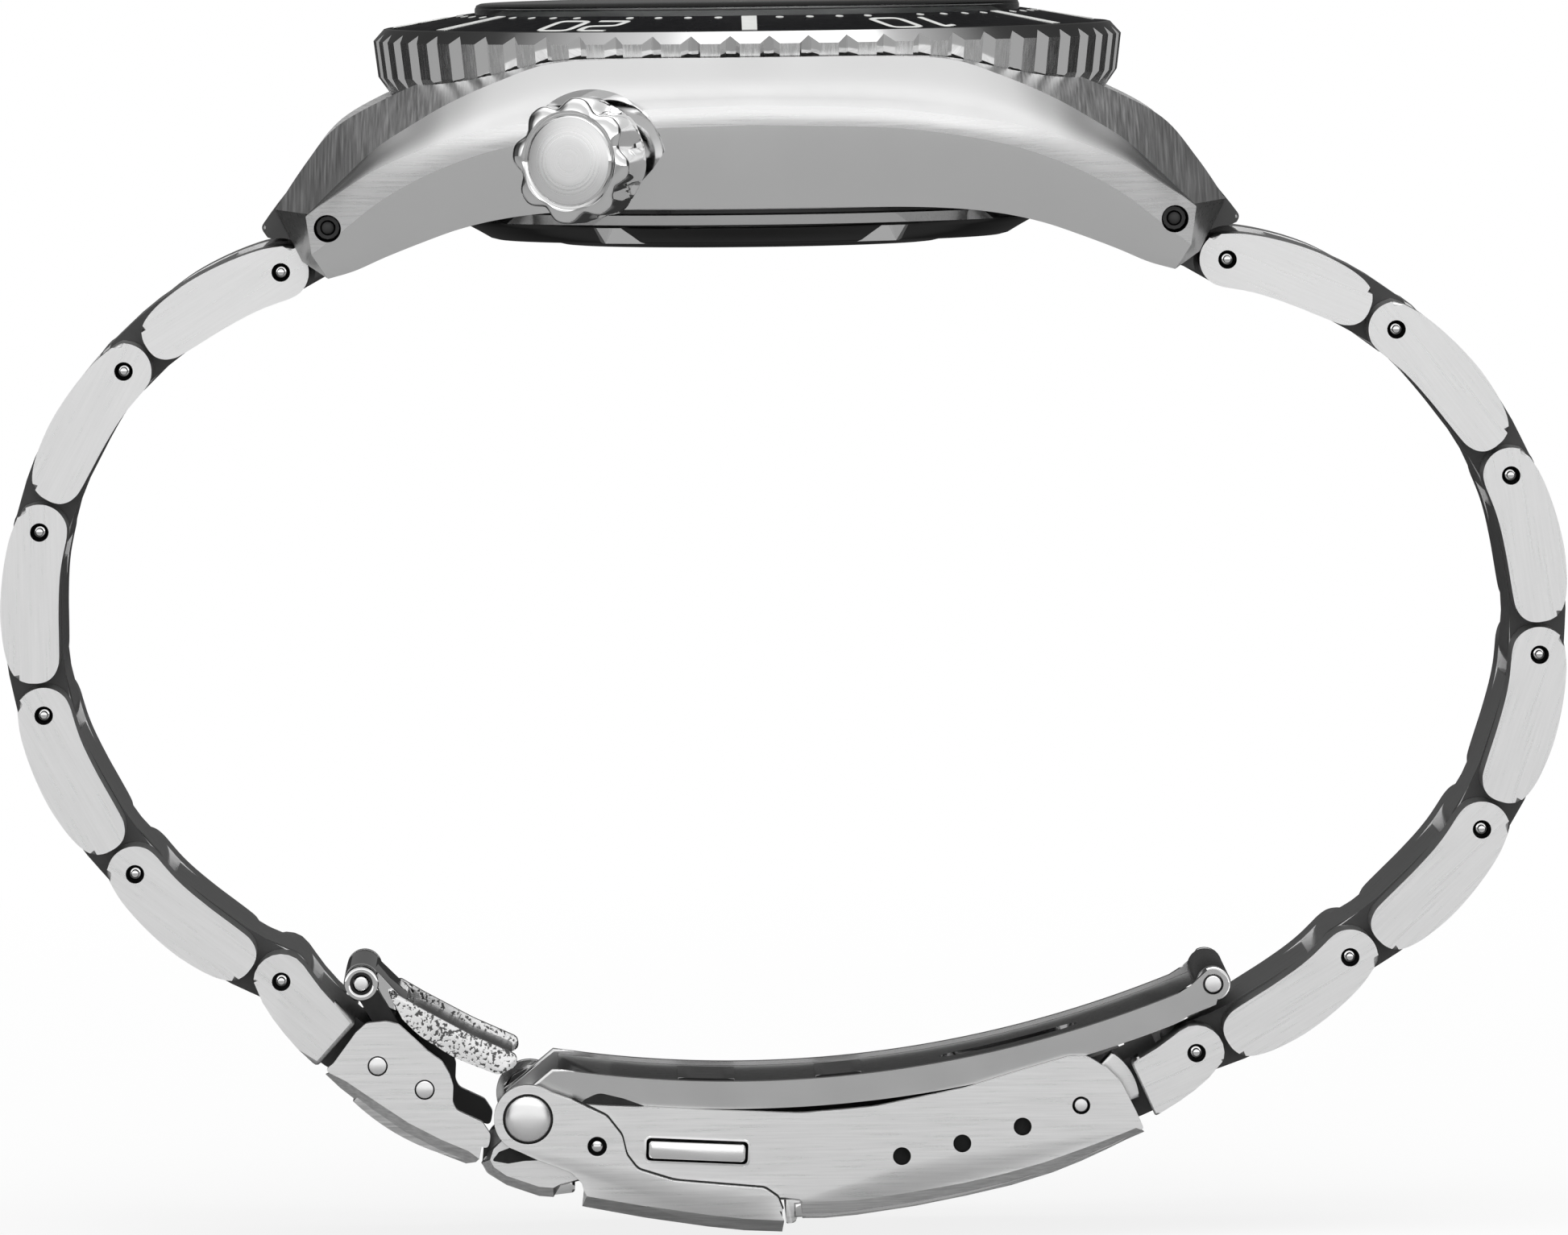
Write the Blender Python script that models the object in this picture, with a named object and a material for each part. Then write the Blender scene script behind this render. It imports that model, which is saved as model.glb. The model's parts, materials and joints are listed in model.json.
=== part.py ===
"""A steel dive watch on its closed three-piece-link bracelet, as separate working parts.

+Z runs from the case back to the crystal, +X to 12 o'clock and -Y to 3 o'clock, the crown's side.
The origin is the centre of the case back's outer flat face. Dimensions below are in millimetres.
Side outlines are drawn in the XZ plane and extruded along Y, which every hinge axis follows.
"""

from math import cos, hypot, pi, radians, sin, sqrt, tau

import bmesh
import bpy
from mathutils import Matrix, Vector

MM = 0.001
THROUGH = 20

# Case: half length over the lugs, lug gap, body radius and the seat that the bezel turns in.
LUG_GAP = 20.2
BODY_RADIUS = 20.3
BODY_BOTTOM = 2.4
SEAT_Z = 8.3
SEAT_RADIUS = 21.05
COLLAR_INNER, COLLAR_OUTER, COLLAR_TOP = 15.35, 16.4, 12.2
CAVITY_RADIUS, CAVITY_TOP = 15.1, 8.2
FIT = 0.1

# Rows of the case's flank from its middle to the lug's end: x, y outwards and z.
TOP_ROW = (
    (0, 10.95), (9.4, 10.85), (13.2, 10.6), (16.6, 9.9),
    (20.1, 8.5), (23.0, 6.85), (25.0, 4.5), (26.3, 2.35),
)
EDGE_ROW = (
    (0, 21.6, 10.75), (9.4, 20.7, 10.6), (13.2, 19.7, 9.7), (16.6, 18.4, 8.45),
    (19.5, 17.1, 6.7), (22.0, 15.8, 4.75), (23.5, 15.0, 3.4), (24.4, 14.55, 2.5),
)
LOW_ROW = (
    (0, 20.75, 2.55), (9.4, 19.8, 2.45), (13.0, 18.8, 2.1), (16.1, 17.6, 1.4),
    (18.4, 16.6, 0.6), (20.4, 15.5, -0.2), (22.0, 14.9, -0.95), (23.4, 14.35, -1.35),
)
UNDER_ROW = (
    (0, 2.65), (9.4, 2.6), (13.0, 2.3), (16.6, 1.6), (19.2, 0.7), (21.6, -0.2), (23.4, -0.7), (24.9, -0.5),
)
FLANK_BULGE = 0.95

# Lug spring bars, drilled right through the lugs.
LUG_BAR_X, LUG_BAR_Z, LUG_BAR_RADIUS, LUG_HOLE_RADIUS = 23.4, 1.45, 0.64, 0.76

# Bezel ring, its insert and the crystal.
BEZEL_PROFILE = (
    (19.9, 8.4), (20.6, 9.6), (20.93, 11.4), (20.3, 12.2),
    (20.18, 12.2), (20.18, 11.5), (16.5, 12.1), (16.5, 8.4),
)
BEZEL_NOTCHES, NOTCH_WIDTH, NOTCH_DEPTH = 60, 1.0, 0.45
INSERT_PROFILE = ((20.08, 12.15), (15.5, 12.95), (15.5, 12.38), (20.08, 11.68))
CRYSTAL_RADIUS, CRYSTAL_BOTTOM, CRYSTAL_TOP = 15.25, 11.3, 13.5

# Crown, turned 22.5 degrees from 3 o'clock towards 6 o'clock.
CROWN_ANGLE, CROWN_Z = radians(-112.5), 5.25
CROWN_RADIUS, CROWN_BASE, CROWN_FACE, CROWN_LOBES = 3.48, 23.1, 26.2, 8
RECESS_RADIUS, RECESS_FLOOR = 3.95, 21.6
STEM_RADIUS, STEM_BORE, STEM_INNER, CROWN_BORE = 0.6, 0.8, 13.4, 0.7

# Inner stack, from the case back up.
BACK_PROFILE = (
    (0, 0), (10.4, 0), (11.2, 0.25), (14.4, 0.4), (16.1, 1.35), (16.1, 2.3),
    (15.0, 2.3), (15.0, 3.3), (14.2, 3.3), (14.2, 1.2), (0, 1.2),
)
WRENCH_NOTCHES = 6
ROTOR_RADIUS, ROTOR_HUB, ROTOR_BOTTOM, ROTOR_TOP = 12.6, 2.2, 1.6, 2.7
ROTOR_BORE, STUD_RADIUS = 0.95, 0.8
MOVEMENT_RADIUS, MOVEMENT_BOTTOM, MOVEMENT_TOP = 13.2, 3.0, 7.6
POST_RADIUS, POST_TOP = 0.22, 9.9
RING_OUTER, RING_BOTTOM = 14.95, 3.7
DIAL_RADIUS, DIAL_BOTTOM, DIAL_TOP = 14.8, 7.75, 8.2
CHAPTER_PROFILE = ((15.2, 8.35), (15.2, 11.15), (14.9, 11.15), (13.7, 8.35))
HAND_BORE = 0.32
HANDS = (("hour_hand", 7.4, 1.5, 8.55), ("minute_hand", 11.8, 1.3, 9.0), ("seconds_hand", 12.6, 0.5, 9.45))
HAND_THICKNESS = 0.18

# Bracelet pins in the XZ plane, from the end link to the clasp, on the 6 and the 12 o'clock side.
PINS_6 = (
    (-26.1, -1.1), (-34.9, -6.5), (-39.7, -15.4), (-39.6, -25.6),
    (-34.65, -34.5), (-26.6, -40.6), (-21.3, -45.4),
)
PINS_12 = (
    (26.45, -1.0), (35.8, -5.0), (42.1, -13.2), (43.6, -23.2),
    (40.3, -32.9), (32.9, -39.95), (24.3, -45.2), (17.85, -48.06),
)
PIN_RADIUS, PIN_BORE = 0.5, 0.58
HALF_WIDTH_LUG, HALF_WIDTH_CLASP = 9.9, 9.1
CENTRE_HALF = 5.0
BAR_GAP = 0.1
HEAD_RADIUS, TAIL_RADIUS = 1.55, 1.6
# Side profile of a full outer bar, from its head to its tail and back: x along the pin line, height above it.
FULL_BAR = 8.3
BAR_CREST = ((0.0, 1.56), (1.0, 1.85), (2.5, 2.14), (4.5, 2.28), (6.3, 2.16), (7.6, 1.86))
BAR_TAIL = ((8.05, 1.42), (8.3, 0.8), (8.3, 0.2), (8.1, -0.35), (7.6, -0.78), (7.0, -0.93))
BAR_BELLY = ((5.0, -0.95), (3.0, -1.03), (1.7, -1.2), (0.8, -1.4))
# Side profile of a centre piece, as (share of its length, height above the pin line).
CENTRE_CREST = ((0.0, 2.0), (0.3, 2.24), (0.6, 2.18), (0.85, 1.85))
CENTRE_BELLY = ((0.6, -1.02), (0.3, -1.0), (0.0, -1.1))
BAR_END_GAP, CENTRE_START = 1.8, 1.9
CROSS_BAR_RADIUS = 0.8
CROSS_BAR_HEIGHT = 0.6

# End links: side profile (mirrored for 6 o'clock) and the root of the tongue that holds the first link.
END_LINK_PROFILE = (
    (18.0, 7.9), (20.1, 8.05), (22.0, 7.1), (23.6, 5.75), (25.2, 3.95), (26.6, 2.2), (27.2, 1.4),
    (25.0, -1.7), (22.8, -0.9), (20.4, 0.5), (18.0, 2.6),
)
END_LINK_HALF = LUG_GAP / 2 - 0.2
KNUCKLE_RADIUS = HEAD_RADIUS + 0.35
TONGUE_ROOT = ((3.84, 0.4), (2.6, 3.6))
LUG_BAR_HALF = 13.4

# Clasp: arcs about two centres carry the cover's floor and both blades.
COVER_CENTRE = (0.6, -5.3)
COVER_RADIUS, COVER_FLOOR = 49.0, 0.9
COVER_HALF, COVER_WALL = 9.0, 0.9
LOCK_RECESS_START, LOCK_RECESS_END, LOCK_RECESS = -10.5, 2.0, 1.0
BLADE_CENTRE = (-1.0, 19.9)
BLADE_RADIUS, FLANGE_HEIGHT, SHEET = 66.5, 1.5, 0.6
BLADE_HALF, SHORT_HALF = 7.95, 7.0
CLASP_PIVOT = (-12.96, -48.38)
BLADE_PIVOT = (25.3, -41.45)
CLASP_BAR_RADIUS = 0.5
ADJUST_HOLES = ((7.83, -50.77), (11.2, -50.1), (14.57, -49.2))
BUTTON_X, BUTTON_Z, BUTTON_LENGTH, BUTTON_HEIGHT, BUTTON_TILT = -3.57, -50.35, 5.4, 1.0, radians(-3)
LOCK_HALF, LOCK_WALL = 9.95, 0.8

# Wet-suit extension, folded between the bracelet's last link and the clasp.
EXTENSION_PIN = (-18.7, -46.75)
CURL_PIN = (-22.18, -40.9)
CURL_RADIUS, CURL_BORE, CURL_PIN_RADIUS = 1.0, 0.49, 0.41
EXTENSION_HALF, EXTENSION_WALL = 8.9, 1.1

MATERIALS = {
    "brushed_steel": ((0.62, 0.62, 0.63), 0.35, 1.0),
    "polished_steel": ((0.75, 0.75, 0.76), 0.12, 1.0),
    "black_insert": ((0.01, 0.01, 0.012), 0.12, 0.0),
    "dial_black": ((0.012, 0.012, 0.014), 0.3, 0.0),
    "mineral_glass": ((0.9, 0.93, 0.93), 0.03, 0.0),
    "brass_movement": ((0.7, 0.62, 0.4), 0.35, 1.0),
}


def material(name):
    """The shared material of this name, made the first time it is asked for."""
    found = bpy.data.materials.get(name)
    if found:
        return found
    colour, roughness, metallic = MATERIALS[name]
    made = bpy.data.materials.new(name)
    made.use_nodes = True
    shader = made.node_tree.nodes["Principled BSDF"]
    shader.inputs["Base Color"].default_value = (*colour, 1)
    shader.inputs["Roughness"].default_value = roughness
    shader.inputs["Metallic"].default_value = metallic
    return made


def solid(name, points, faces, finish="brushed_steel"):
    """A new object from points in millimetres, with its faces turned outwards."""
    mesh = bpy.data.meshes.new(name)
    mesh.from_pydata([Vector(point) * MM for point in points], [], faces)
    shape = bmesh.new()
    shape.from_mesh(mesh)
    bmesh.ops.recalc_face_normals(shape, faces=shape.faces)
    shape.to_mesh(mesh)
    shape.free()
    mesh.materials.append(material(finish))
    mesh.shade_smooth()
    mesh.set_sharp_from_angle(angle=radians(30))
    made = bpy.data.objects.new(name, mesh)
    bpy.context.scene.collection.objects.link(made)
    return made


def arc(centre, radius, start, end, steps):
    """Points on an arc from one angle to another, in degrees, both ends included."""
    angles = [radians(start + (end - start) * step / steps) for step in range(steps + 1)]
    return [(centre[0] + radius * cos(angle), centre[1] + radius * sin(angle)) for angle in angles]


def circle(centre, radius, steps=10):
    return arc(centre, radius, 0, 360 - 360 / steps, steps - 1)


def prism_data(outline, near, far):
    """Points and faces of an XZ outline extruded from y=near to y=far, where far may depend on the point."""
    count = len(outline)
    ends = far if callable(far) else (lambda index: far)
    points = [(x, near, z) for x, z in outline]
    points += [(x, ends(index), z) for index, (x, z) in enumerate(outline)]
    faces = [tuple(range(count)), tuple(range(2 * count - 1, count - 1, -1))]
    for index in range(count):
        following = (index + 1) % count
        faces.append((index, following, count + following, count + index))
    return points, faces


def prism(name, outline, near, far, finish="brushed_steel"):
    return solid(name, *prism_data(outline, near, far), finish)


def rod(name, centre, radius, half, finish="polished_steel", steps=12):
    """A rod along Y, centred on y=0."""
    return prism(name, circle(centre, radius, steps), -half, half, finish)


def shells(name, parts, finish="brushed_steel"):
    """Several closed shells, given as (points, faces), in one object."""
    points, faces = [], []
    for part_points, part_faces in parts:
        start = len(points)
        points += part_points
        faces += [tuple(start + index for index in face) for face in part_faces]
    return solid(name, points, faces, finish)


def turned_data(profile, steps, matrix=None):
    """Points and faces of a closed (radius, height) profile turned about Z."""
    points, faces, rings = [], [], []
    for radius, height in profile:
        if radius == 0:
            rings.append([len(points)] * steps)
            points.append(Vector((0, 0, height)))
            continue
        rings.append(list(range(len(points), len(points) + steps)))
        for step in range(steps):
            angle = tau * step / steps
            points.append(Vector((radius * cos(angle), radius * sin(angle), height)))
    for index, ring in enumerate(rings):
        following = rings[(index + 1) % len(rings)]
        for step in range(steps):
            after = (step + 1) % steps
            corners = (ring[step], ring[after], following[after], following[step])
            unique = tuple(dict.fromkeys(corners))
            if len(unique) > 2:
                faces.append(unique)
    if matrix:
        points = [matrix @ point for point in points]
    return points, faces


def turned(name, profile, steps, finish="brushed_steel", matrix=None):
    return solid(name, *turned_data(profile, steps, matrix), finish)


def combine(base, other, operation):
    """Joins or cuts base with other, which becomes a hidden helper."""
    change = base.modifiers.new(operation.lower(), "BOOLEAN")
    change.operation = operation
    change.solver = "EXACT"
    change.object = other
    other.hide_render = True
    other.display_type = "WIRE"


def catmull(points, parts):
    """A smooth curve through the given points, with this many parts between each two."""
    vectors = [Vector(point) for point in points]
    padded = [2 * vectors[0] - vectors[1], *vectors, 2 * vectors[-1] - vectors[-2]]
    curve = []
    for index in range(len(vectors) - 1):
        a, b, c, d = padded[index : index + 4]
        for part in range(parts):
            t = part / parts
            square = 2 * a - 5 * b + 4 * c - d
            cube = 3 * b - a - 3 * c + d
            curve.append(0.5 * (2 * b + (c - a) * t + square * t**2 + cube * t**3))
    curve.append(vectors[-1])
    return curve


# --- Case -------------------------------------------------------------------------------------


def flank_sections():
    """Cross-sections of the case's near flank, from the 6 o'clock lug end to the 12 o'clock one."""
    inner = LUG_GAP / 2
    top = catmull([(x, inner, z) for x, z in TOP_ROW], 2)
    edge = catmull(EDGE_ROW, 2)
    low = catmull(LOW_ROW, 2)
    under = catmull([(x, inner, z) for x, z in UNDER_ROW], 2)
    half = []
    for top_point, edge_point, low_point, under_point in zip(top, edge, low, under):
        section = [top_point, edge_point]
        for share in (0.25, 0.5, 0.75):
            bulge = FLANK_BULGE * 4 * share * (1 - share) * (1 - edge_point.x / 40)
            point = edge_point.lerp(low_point, share)
            section.append(point + Vector((0, bulge, 0)))
        half.append([*section, low_point, under_point])
    left = [[Vector((-p.x, p.y, p.z)) for p in section] for section in reversed(half[1:])]
    return left + half


def flank(name, side):
    """One side of the case with its two lugs; side is -1 for the crown's side."""
    sections = flank_sections()
    rows = len(sections[0])
    points = [(p.x, side * p.y, p.z) for section in sections for p in section]
    faces = [tuple(range(rows)), tuple(range(len(points) - 1, len(points) - rows - 1, -1))]
    for index in range(len(sections) - 1):
        for row in range(rows):
            following = (row + 1) % rows
            start = index * rows
            faces.append((start + row, start + following, start + rows + following, start + rows + row))
    return solid(name, points, faces)


def crown_matrix():
    """Z of the crown's own frame points outwards along its axis."""
    turned_out = Matrix.Rotation(CROWN_ANGLE, 4, "Z") @ Matrix.Rotation(pi / 2, 4, "Y")
    return Matrix.Translation((0, 0, CROWN_Z)) @ turned_out


def mid_case():
    body = turned(
        "mid_case",
        (
            (BODY_RADIUS, BODY_BOTTOM), (BODY_RADIUS, SEAT_Z),
            (COLLAR_OUTER, SEAT_Z), (COLLAR_OUTER, COLLAR_TOP),
            (COLLAR_INNER, COLLAR_TOP), (COLLAR_INNER, CAVITY_TOP),
            (CAVITY_RADIUS, CAVITY_TOP), (CAVITY_RADIUS, BODY_BOTTOM),
        ),
        72,
    )
    seat_floor = SEAT_Z - 0.06
    seat_profile = ((0, seat_floor), (SEAT_RADIUS, seat_floor), (SEAT_RADIUS, 20), (0, 20))
    for name, side in (("flank_near", -1), ("flank_far", 1)):
        one_flank = flank(name, side)
        hollow = turned(name + "_seat", seat_profile, 72)
        cavity = turned(name + "_cavity", ((0, -5), (17.5, -5), (17.5, 20), (0, 20)), 72)
        combine(one_flank, hollow, "DIFFERENCE")
        combine(one_flank, cavity, "DIFFERENCE")
        combine(body, one_flank, "UNION")
    recess = ((0, RECESS_FLOOR), (RECESS_RADIUS, RECESS_FLOOR), (RECESS_RADIUS, 30), (0, 30))
    bore = ((0, 10), (STEM_BORE, 10), (STEM_BORE, 30), (0, 30))
    combine(body, turned("crown_recess_cutter", recess, 32, matrix=crown_matrix()), "DIFFERENCE")
    combine(body, turned("stem_bore_cutter", bore, 12, matrix=crown_matrix()), "DIFFERENCE")
    for name, x in (("lug_holes_6", -LUG_BAR_X), ("lug_holes_12", LUG_BAR_X)):
        combine(body, rod(name, (x, LUG_BAR_Z), LUG_HOLE_RADIUS, 20), "DIFFERENCE")


def case_back():
    back = turned("case_back", BACK_PROFILE, 36, "polished_steel")
    notches = []
    for step in range(WRENCH_NOTCHES):
        centre = Matrix.Rotation(tau * (step + 0.5) / WRENCH_NOTCHES, 4, "Z") @ Vector((14.9, 0, 0))
        profile = ((0, -1), (0.9, -1), (0.9, 1.0), (0, 1.0))
        notches.append(turned_data(profile, 8, Matrix.Translation(centre)))
    combine(back, shells("wrench_notch_cutters", notches), "DIFFERENCE")


def bezel():
    ring = turned("bezel_ring", BEZEL_PROFILE, 120)
    cuts = []
    for step in range(BEZEL_NOTCHES):
        turn = Matrix.Rotation(tau * (step + 0.5) / BEZEL_NOTCHES, 4, "Z")
        reach = BEZEL_PROFILE[2][0] - NOTCH_DEPTH
        corners = ((reach, 0), (22.5, -1.9 * NOTCH_WIDTH), (22.5, 1.9 * NOTCH_WIDTH))
        points = [turn @ Vector((x, y, z)) for z in (7, 13) for x, y in corners]
        cuts.append((points, [(0, 1, 2), (5, 4, 3), (0, 3, 4, 1), (1, 4, 5, 2), (2, 5, 3, 0)]))
    combine(ring, shells("bezel_notch_cutters", cuts), "DIFFERENCE")
    turned("bezel_insert", INSERT_PROFILE, 60, "black_insert")


def crystal():
    edge = 0.35
    profile = (
        (0, CRYSTAL_BOTTOM), (CRYSTAL_RADIUS, CRYSTAL_BOTTOM), (CRYSTAL_RADIUS, CRYSTAL_TOP - edge),
        (CRYSTAL_RADIUS - edge, CRYSTAL_TOP), (0, CRYSTAL_TOP),
    )
    turned("crystal", profile, 40, "mineral_glass")


def crown():
    frame = crown_matrix()
    profile = (
        (CROWN_BORE, CROWN_BASE), (CROWN_RADIUS, CROWN_BASE),
        (CROWN_RADIUS, CROWN_FACE - 0.3), (CROWN_RADIUS - 0.3, CROWN_FACE), (0, CROWN_FACE),
        (0, CROWN_FACE - 0.9), (CROWN_BORE, CROWN_FACE - 0.9),
    )
    grip = turned("crown", profile, 48, matrix=frame)
    scallops = []
    for lobe in range(CROWN_LOBES):
        angle = tau * lobe / CROWN_LOBES
        place = Matrix.Translation((4.1 * cos(angle), 4.1 * sin(angle), 0))
        scallops.append(turned_data(((0, 20), (0.95, 20), (0.95, 30), (0, 30)), 12, frame @ place))
    combine(grip, shells("crown_scallop_cutters", scallops), "DIFFERENCE")
    tip = CROWN_FACE - 1.0
    stem = ((0, STEM_INNER), (STEM_RADIUS, STEM_INNER), (STEM_RADIUS, tip), (0, tip))
    turned("crown_stem", stem, 12, "polished_steel", frame)


def hands():
    for name, length, width, height in HANDS:
        tail = 0.2 * length
        half, shoulder = width / 2, 0.8 * length
        outline = [(-tail, -half), (shoulder, -half), (length, 0), (shoulder, half), (-tail, half)]
        points = [(x, y, z) for z in (height, height + HAND_THICKNESS) for x, y in outline]
        faces = [(4, 3, 2, 1, 0), (5, 6, 7, 8, 9)]
        faces += [(i, (i + 1) % 5, 5 + (i + 1) % 5, 5 + i) for i in range(5)]
        hand = solid(name, points, faces, "polished_steel")
        boss_top = height + HAND_THICKNESS
        boss = turned(name + "_boss", ((0, height), (0.85, height), (0.85, boss_top), (0, boss_top)), 16)
        combine(hand, boss, "UNION")
        bore = turned(name + "_bore", ((0, 0), (HAND_BORE, 0), (HAND_BORE, 20), (0, 20)), 12)
        combine(hand, bore, "DIFFERENCE")


def movement():
    turned(
        "movement",
        (
            (0, ROTOR_BOTTOM), (STUD_RADIUS, ROTOR_BOTTOM), (STUD_RADIUS, MOVEMENT_BOTTOM),
            (MOVEMENT_RADIUS, MOVEMENT_BOTTOM), (MOVEMENT_RADIUS, MOVEMENT_TOP), (POST_RADIUS, MOVEMENT_TOP),
            (POST_RADIUS, POST_TOP), (0, POST_TOP),
        ),
        40,
        "brass_movement",
    )
    rotor_outline = arc((0, 0), ROTOR_RADIUS, 0, 180, 18)
    rotor_outline += arc((0, 0), ROTOR_HUB, 180, 360, 6)
    count = len(rotor_outline)
    points = [(x, y, z) for z in (ROTOR_BOTTOM, ROTOR_TOP) for x, y in rotor_outline]
    faces = [tuple(reversed(range(count))), tuple(range(count, 2 * count))]
    faces += [(i, (i + 1) % count, count + (i + 1) % count, count + i) for i in range(count)]
    rotor = solid("rotor", points, faces)
    hole = turned("rotor_bore", ((0, 0), (ROTOR_BORE, 0), (ROTOR_BORE, 5), (0, 5)), 16)
    combine(rotor, hole, "DIFFERENCE")
    holder = turned(
        "movement_ring",
        (
            (MOVEMENT_RADIUS + FIT, RING_BOTTOM), (RING_OUTER, RING_BOTTOM),
            (RING_OUTER, MOVEMENT_TOP), (MOVEMENT_RADIUS + FIT, MOVEMENT_TOP),
        ),
        40,
        "brass_movement",
    )
    bore = ((0, 10), (STEM_BORE, 10), (STEM_BORE, 30), (0, 30))
    combine(holder, turned("movement_ring_bore", bore, 12, matrix=crown_matrix()), "DIFFERENCE")
    dial_profile = ((1.0, DIAL_BOTTOM), (DIAL_RADIUS, DIAL_BOTTOM), (DIAL_RADIUS, DIAL_TOP), (1.0, DIAL_TOP))
    turned("dial", dial_profile, 36, "dial_black")
    turned("chapter_ring", CHAPTER_PROFILE, 36, "dial_black")


# --- Bracelet ---------------------------------------------------------------------------------


class Segment:
    """A link's own frame: x runs from its head pin to its tail pin, n points out of the loop."""

    def __init__(self, head, tail, side):
        self.head = head
        self.length = hypot(tail[0] - head[0], tail[1] - head[1])
        self.along = ((tail[0] - head[0]) / self.length, (tail[1] - head[1]) / self.length)
        self.out = (-side * self.along[1], side * self.along[0])

    def world(self, outline):
        return [
            (
                self.head[0] + x * self.along[0] + n * self.out[0],
                self.head[1] + x * self.along[1] + n * self.out[1],
            )
            for x, n in outline
        ]


def bar_outline(end):
    """Side view of an outer bar: round about its head pin and bowed. A short bar is the full one cut off."""
    if end > FULL_BAR - 1:
        edge = [(x * end / FULL_BAR, n) for x, n in (*BAR_CREST, *BAR_TAIL, *BAR_BELLY)]
    else:
        crest = [point for point in BAR_CREST if point[0] < end - 0.3]
        belly = [point for point in BAR_BELLY if point[0] < end - 0.3]
        edge = [*crest, (end, crest[-1][1]), (end, belly[0][1]), *belly]
    return [*arc((0, 0), HEAD_RADIUS, 260, 131, 5), *edge]


def centre_outline(length, tail_radius):
    """Side view of a centre piece: bowed like the bars and wrapped round the tail pin."""
    span = length - CENTRE_START
    crest = [(CENTRE_START + share * span, n) for share, n in CENTRE_CREST]
    belly = [(CENTRE_START + share * span, n) for share, n in CENTRE_BELLY]
    return [*crest, *arc((length, 0), tail_radius, 92, -98, 8), *belly]


def link(name, head, tail, side, widths, end_gap=BAR_END_GAP, tail_radius=TAIL_RADIUS):
    """Two outer bars and a centre piece on a hidden cross bar, bored for the pins at both ends."""
    segment = Segment(head, tail, side)
    end = segment.length - end_gap
    flat = bar_outline(end)
    bars = segment.world(flat)

    def outer(sign):
        taper = (widths[1] - widths[0]) / segment.length
        return lambda index: sign * (widths[0] + taper * max(flat[index][0], 0))

    inner = CENTRE_HALF + BAR_GAP
    parts = [prism_data(bars, sign * inner, outer(sign)) for sign in (-1, 1)]
    centre = segment.world(centre_outline(segment.length, tail_radius))
    parts.append(prism_data(centre, -CENTRE_HALF, CENTRE_HALF))
    cross_x = (CENTRE_START + end) / 2
    cross = segment.world([(cross_x, CROSS_BAR_HEIGHT)])[0]
    cross_radius = min(CROSS_BAR_RADIUS, (end - CENTRE_START) / 2 - 0.1)
    made = rod(name, cross, cross_radius, widths[1] - 1, "brushed_steel", 8)
    combine(made, shells(name + "_shells", parts), "UNION")
    bores = [prism_data(circle(centre, PIN_BORE), -THROUGH, THROUGH) for centre in (head, tail)]
    combine(made, shells(name + "_bores", bores), "DIFFERENCE")


def chain(side, pins, last_end_gap, last_tail_radius):
    """The links of one side, with the pin that joins each to the one before."""
    count = len(pins) - 1
    label = "12" if side > 0 else "6"

    def half_width(index):
        return HALF_WIDTH_LUG + (HALF_WIDTH_CLASP - HALF_WIDTH_LUG) * index / count

    for index in range(count):
        last = index == count - 1
        link(
            f"link_{label}_{index + 1}",
            pins[index],
            pins[index + 1],
            side,
            (half_width(index), half_width(index + 1)),
            last_end_gap if last else BAR_END_GAP,
            last_tail_radius if last else TAIL_RADIUS,
        )
        rod(f"pin_{label}_{index + 1}", pins[index], PIN_RADIUS, half_width(index) - 0.35)


def end_link(name, side, pin):
    """Fills the gap between the lugs, cut round the case and the knuckle of the first link."""
    block = [(side * x, z) for x, z in END_LINK_PROFILE]
    body = prism(name, block, -END_LINK_HALF, END_LINK_HALF)
    hollow = rod(name + "_knuckle_cutter", pin, KNUCKLE_RADIUS, THROUGH, steps=24)
    combine(body, hollow, "DIFFERENCE")
    start, stop = (60, -110) if side > 0 else (80, 280)
    root = [(pin[0] - side * dx, pin[1] + dz) for dx, dz in TONGUE_ROOT]
    tongue = [*arc(pin, TAIL_RADIUS, start, stop, 8), *root]
    combine(body, prism(name + "_tongue", tongue, -CENTRE_HALF, CENTRE_HALF), "UNION")
    case_radius = BODY_RADIUS + 0.15
    case = ((0, -10), (case_radius, -10), (case_radius, 20), (0, 20))
    combine(body, turned(name + "_case_cutter", case, 72), "DIFFERENCE")
    spring_bar = (side * LUG_BAR_X, LUG_BAR_Z)
    bores = [
        prism_data(circle(pin, PIN_BORE), -THROUGH, THROUGH),
        prism_data(circle(spring_bar, LUG_BAR_RADIUS + FIT), -THROUGH, THROUGH),
    ]
    combine(body, shells(name + "_bores", bores), "DIFFERENCE")
    rod(name.replace("end_link", "spring_bar"), spring_bar, LUG_BAR_RADIUS, LUG_BAR_HALF)


# --- Clasp ------------------------------------------------------------------------------------


def on_arc(centre, radius, x):
    """The lower point of a circle at this x."""
    return (x, centre[1] - sqrt(radius**2 - (x - centre[0]) ** 2))


def strip(centre, inner, outer, start, end, steps):
    """An arc-shaped strip between two radii, from x=start to x=end."""
    xs = [start + (end - start) * step / steps for step in range(steps + 1)]
    return [on_arc(centre, inner, x) for x in xs] + [on_arc(centre, outer, x) for x in reversed(xs)]


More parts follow.
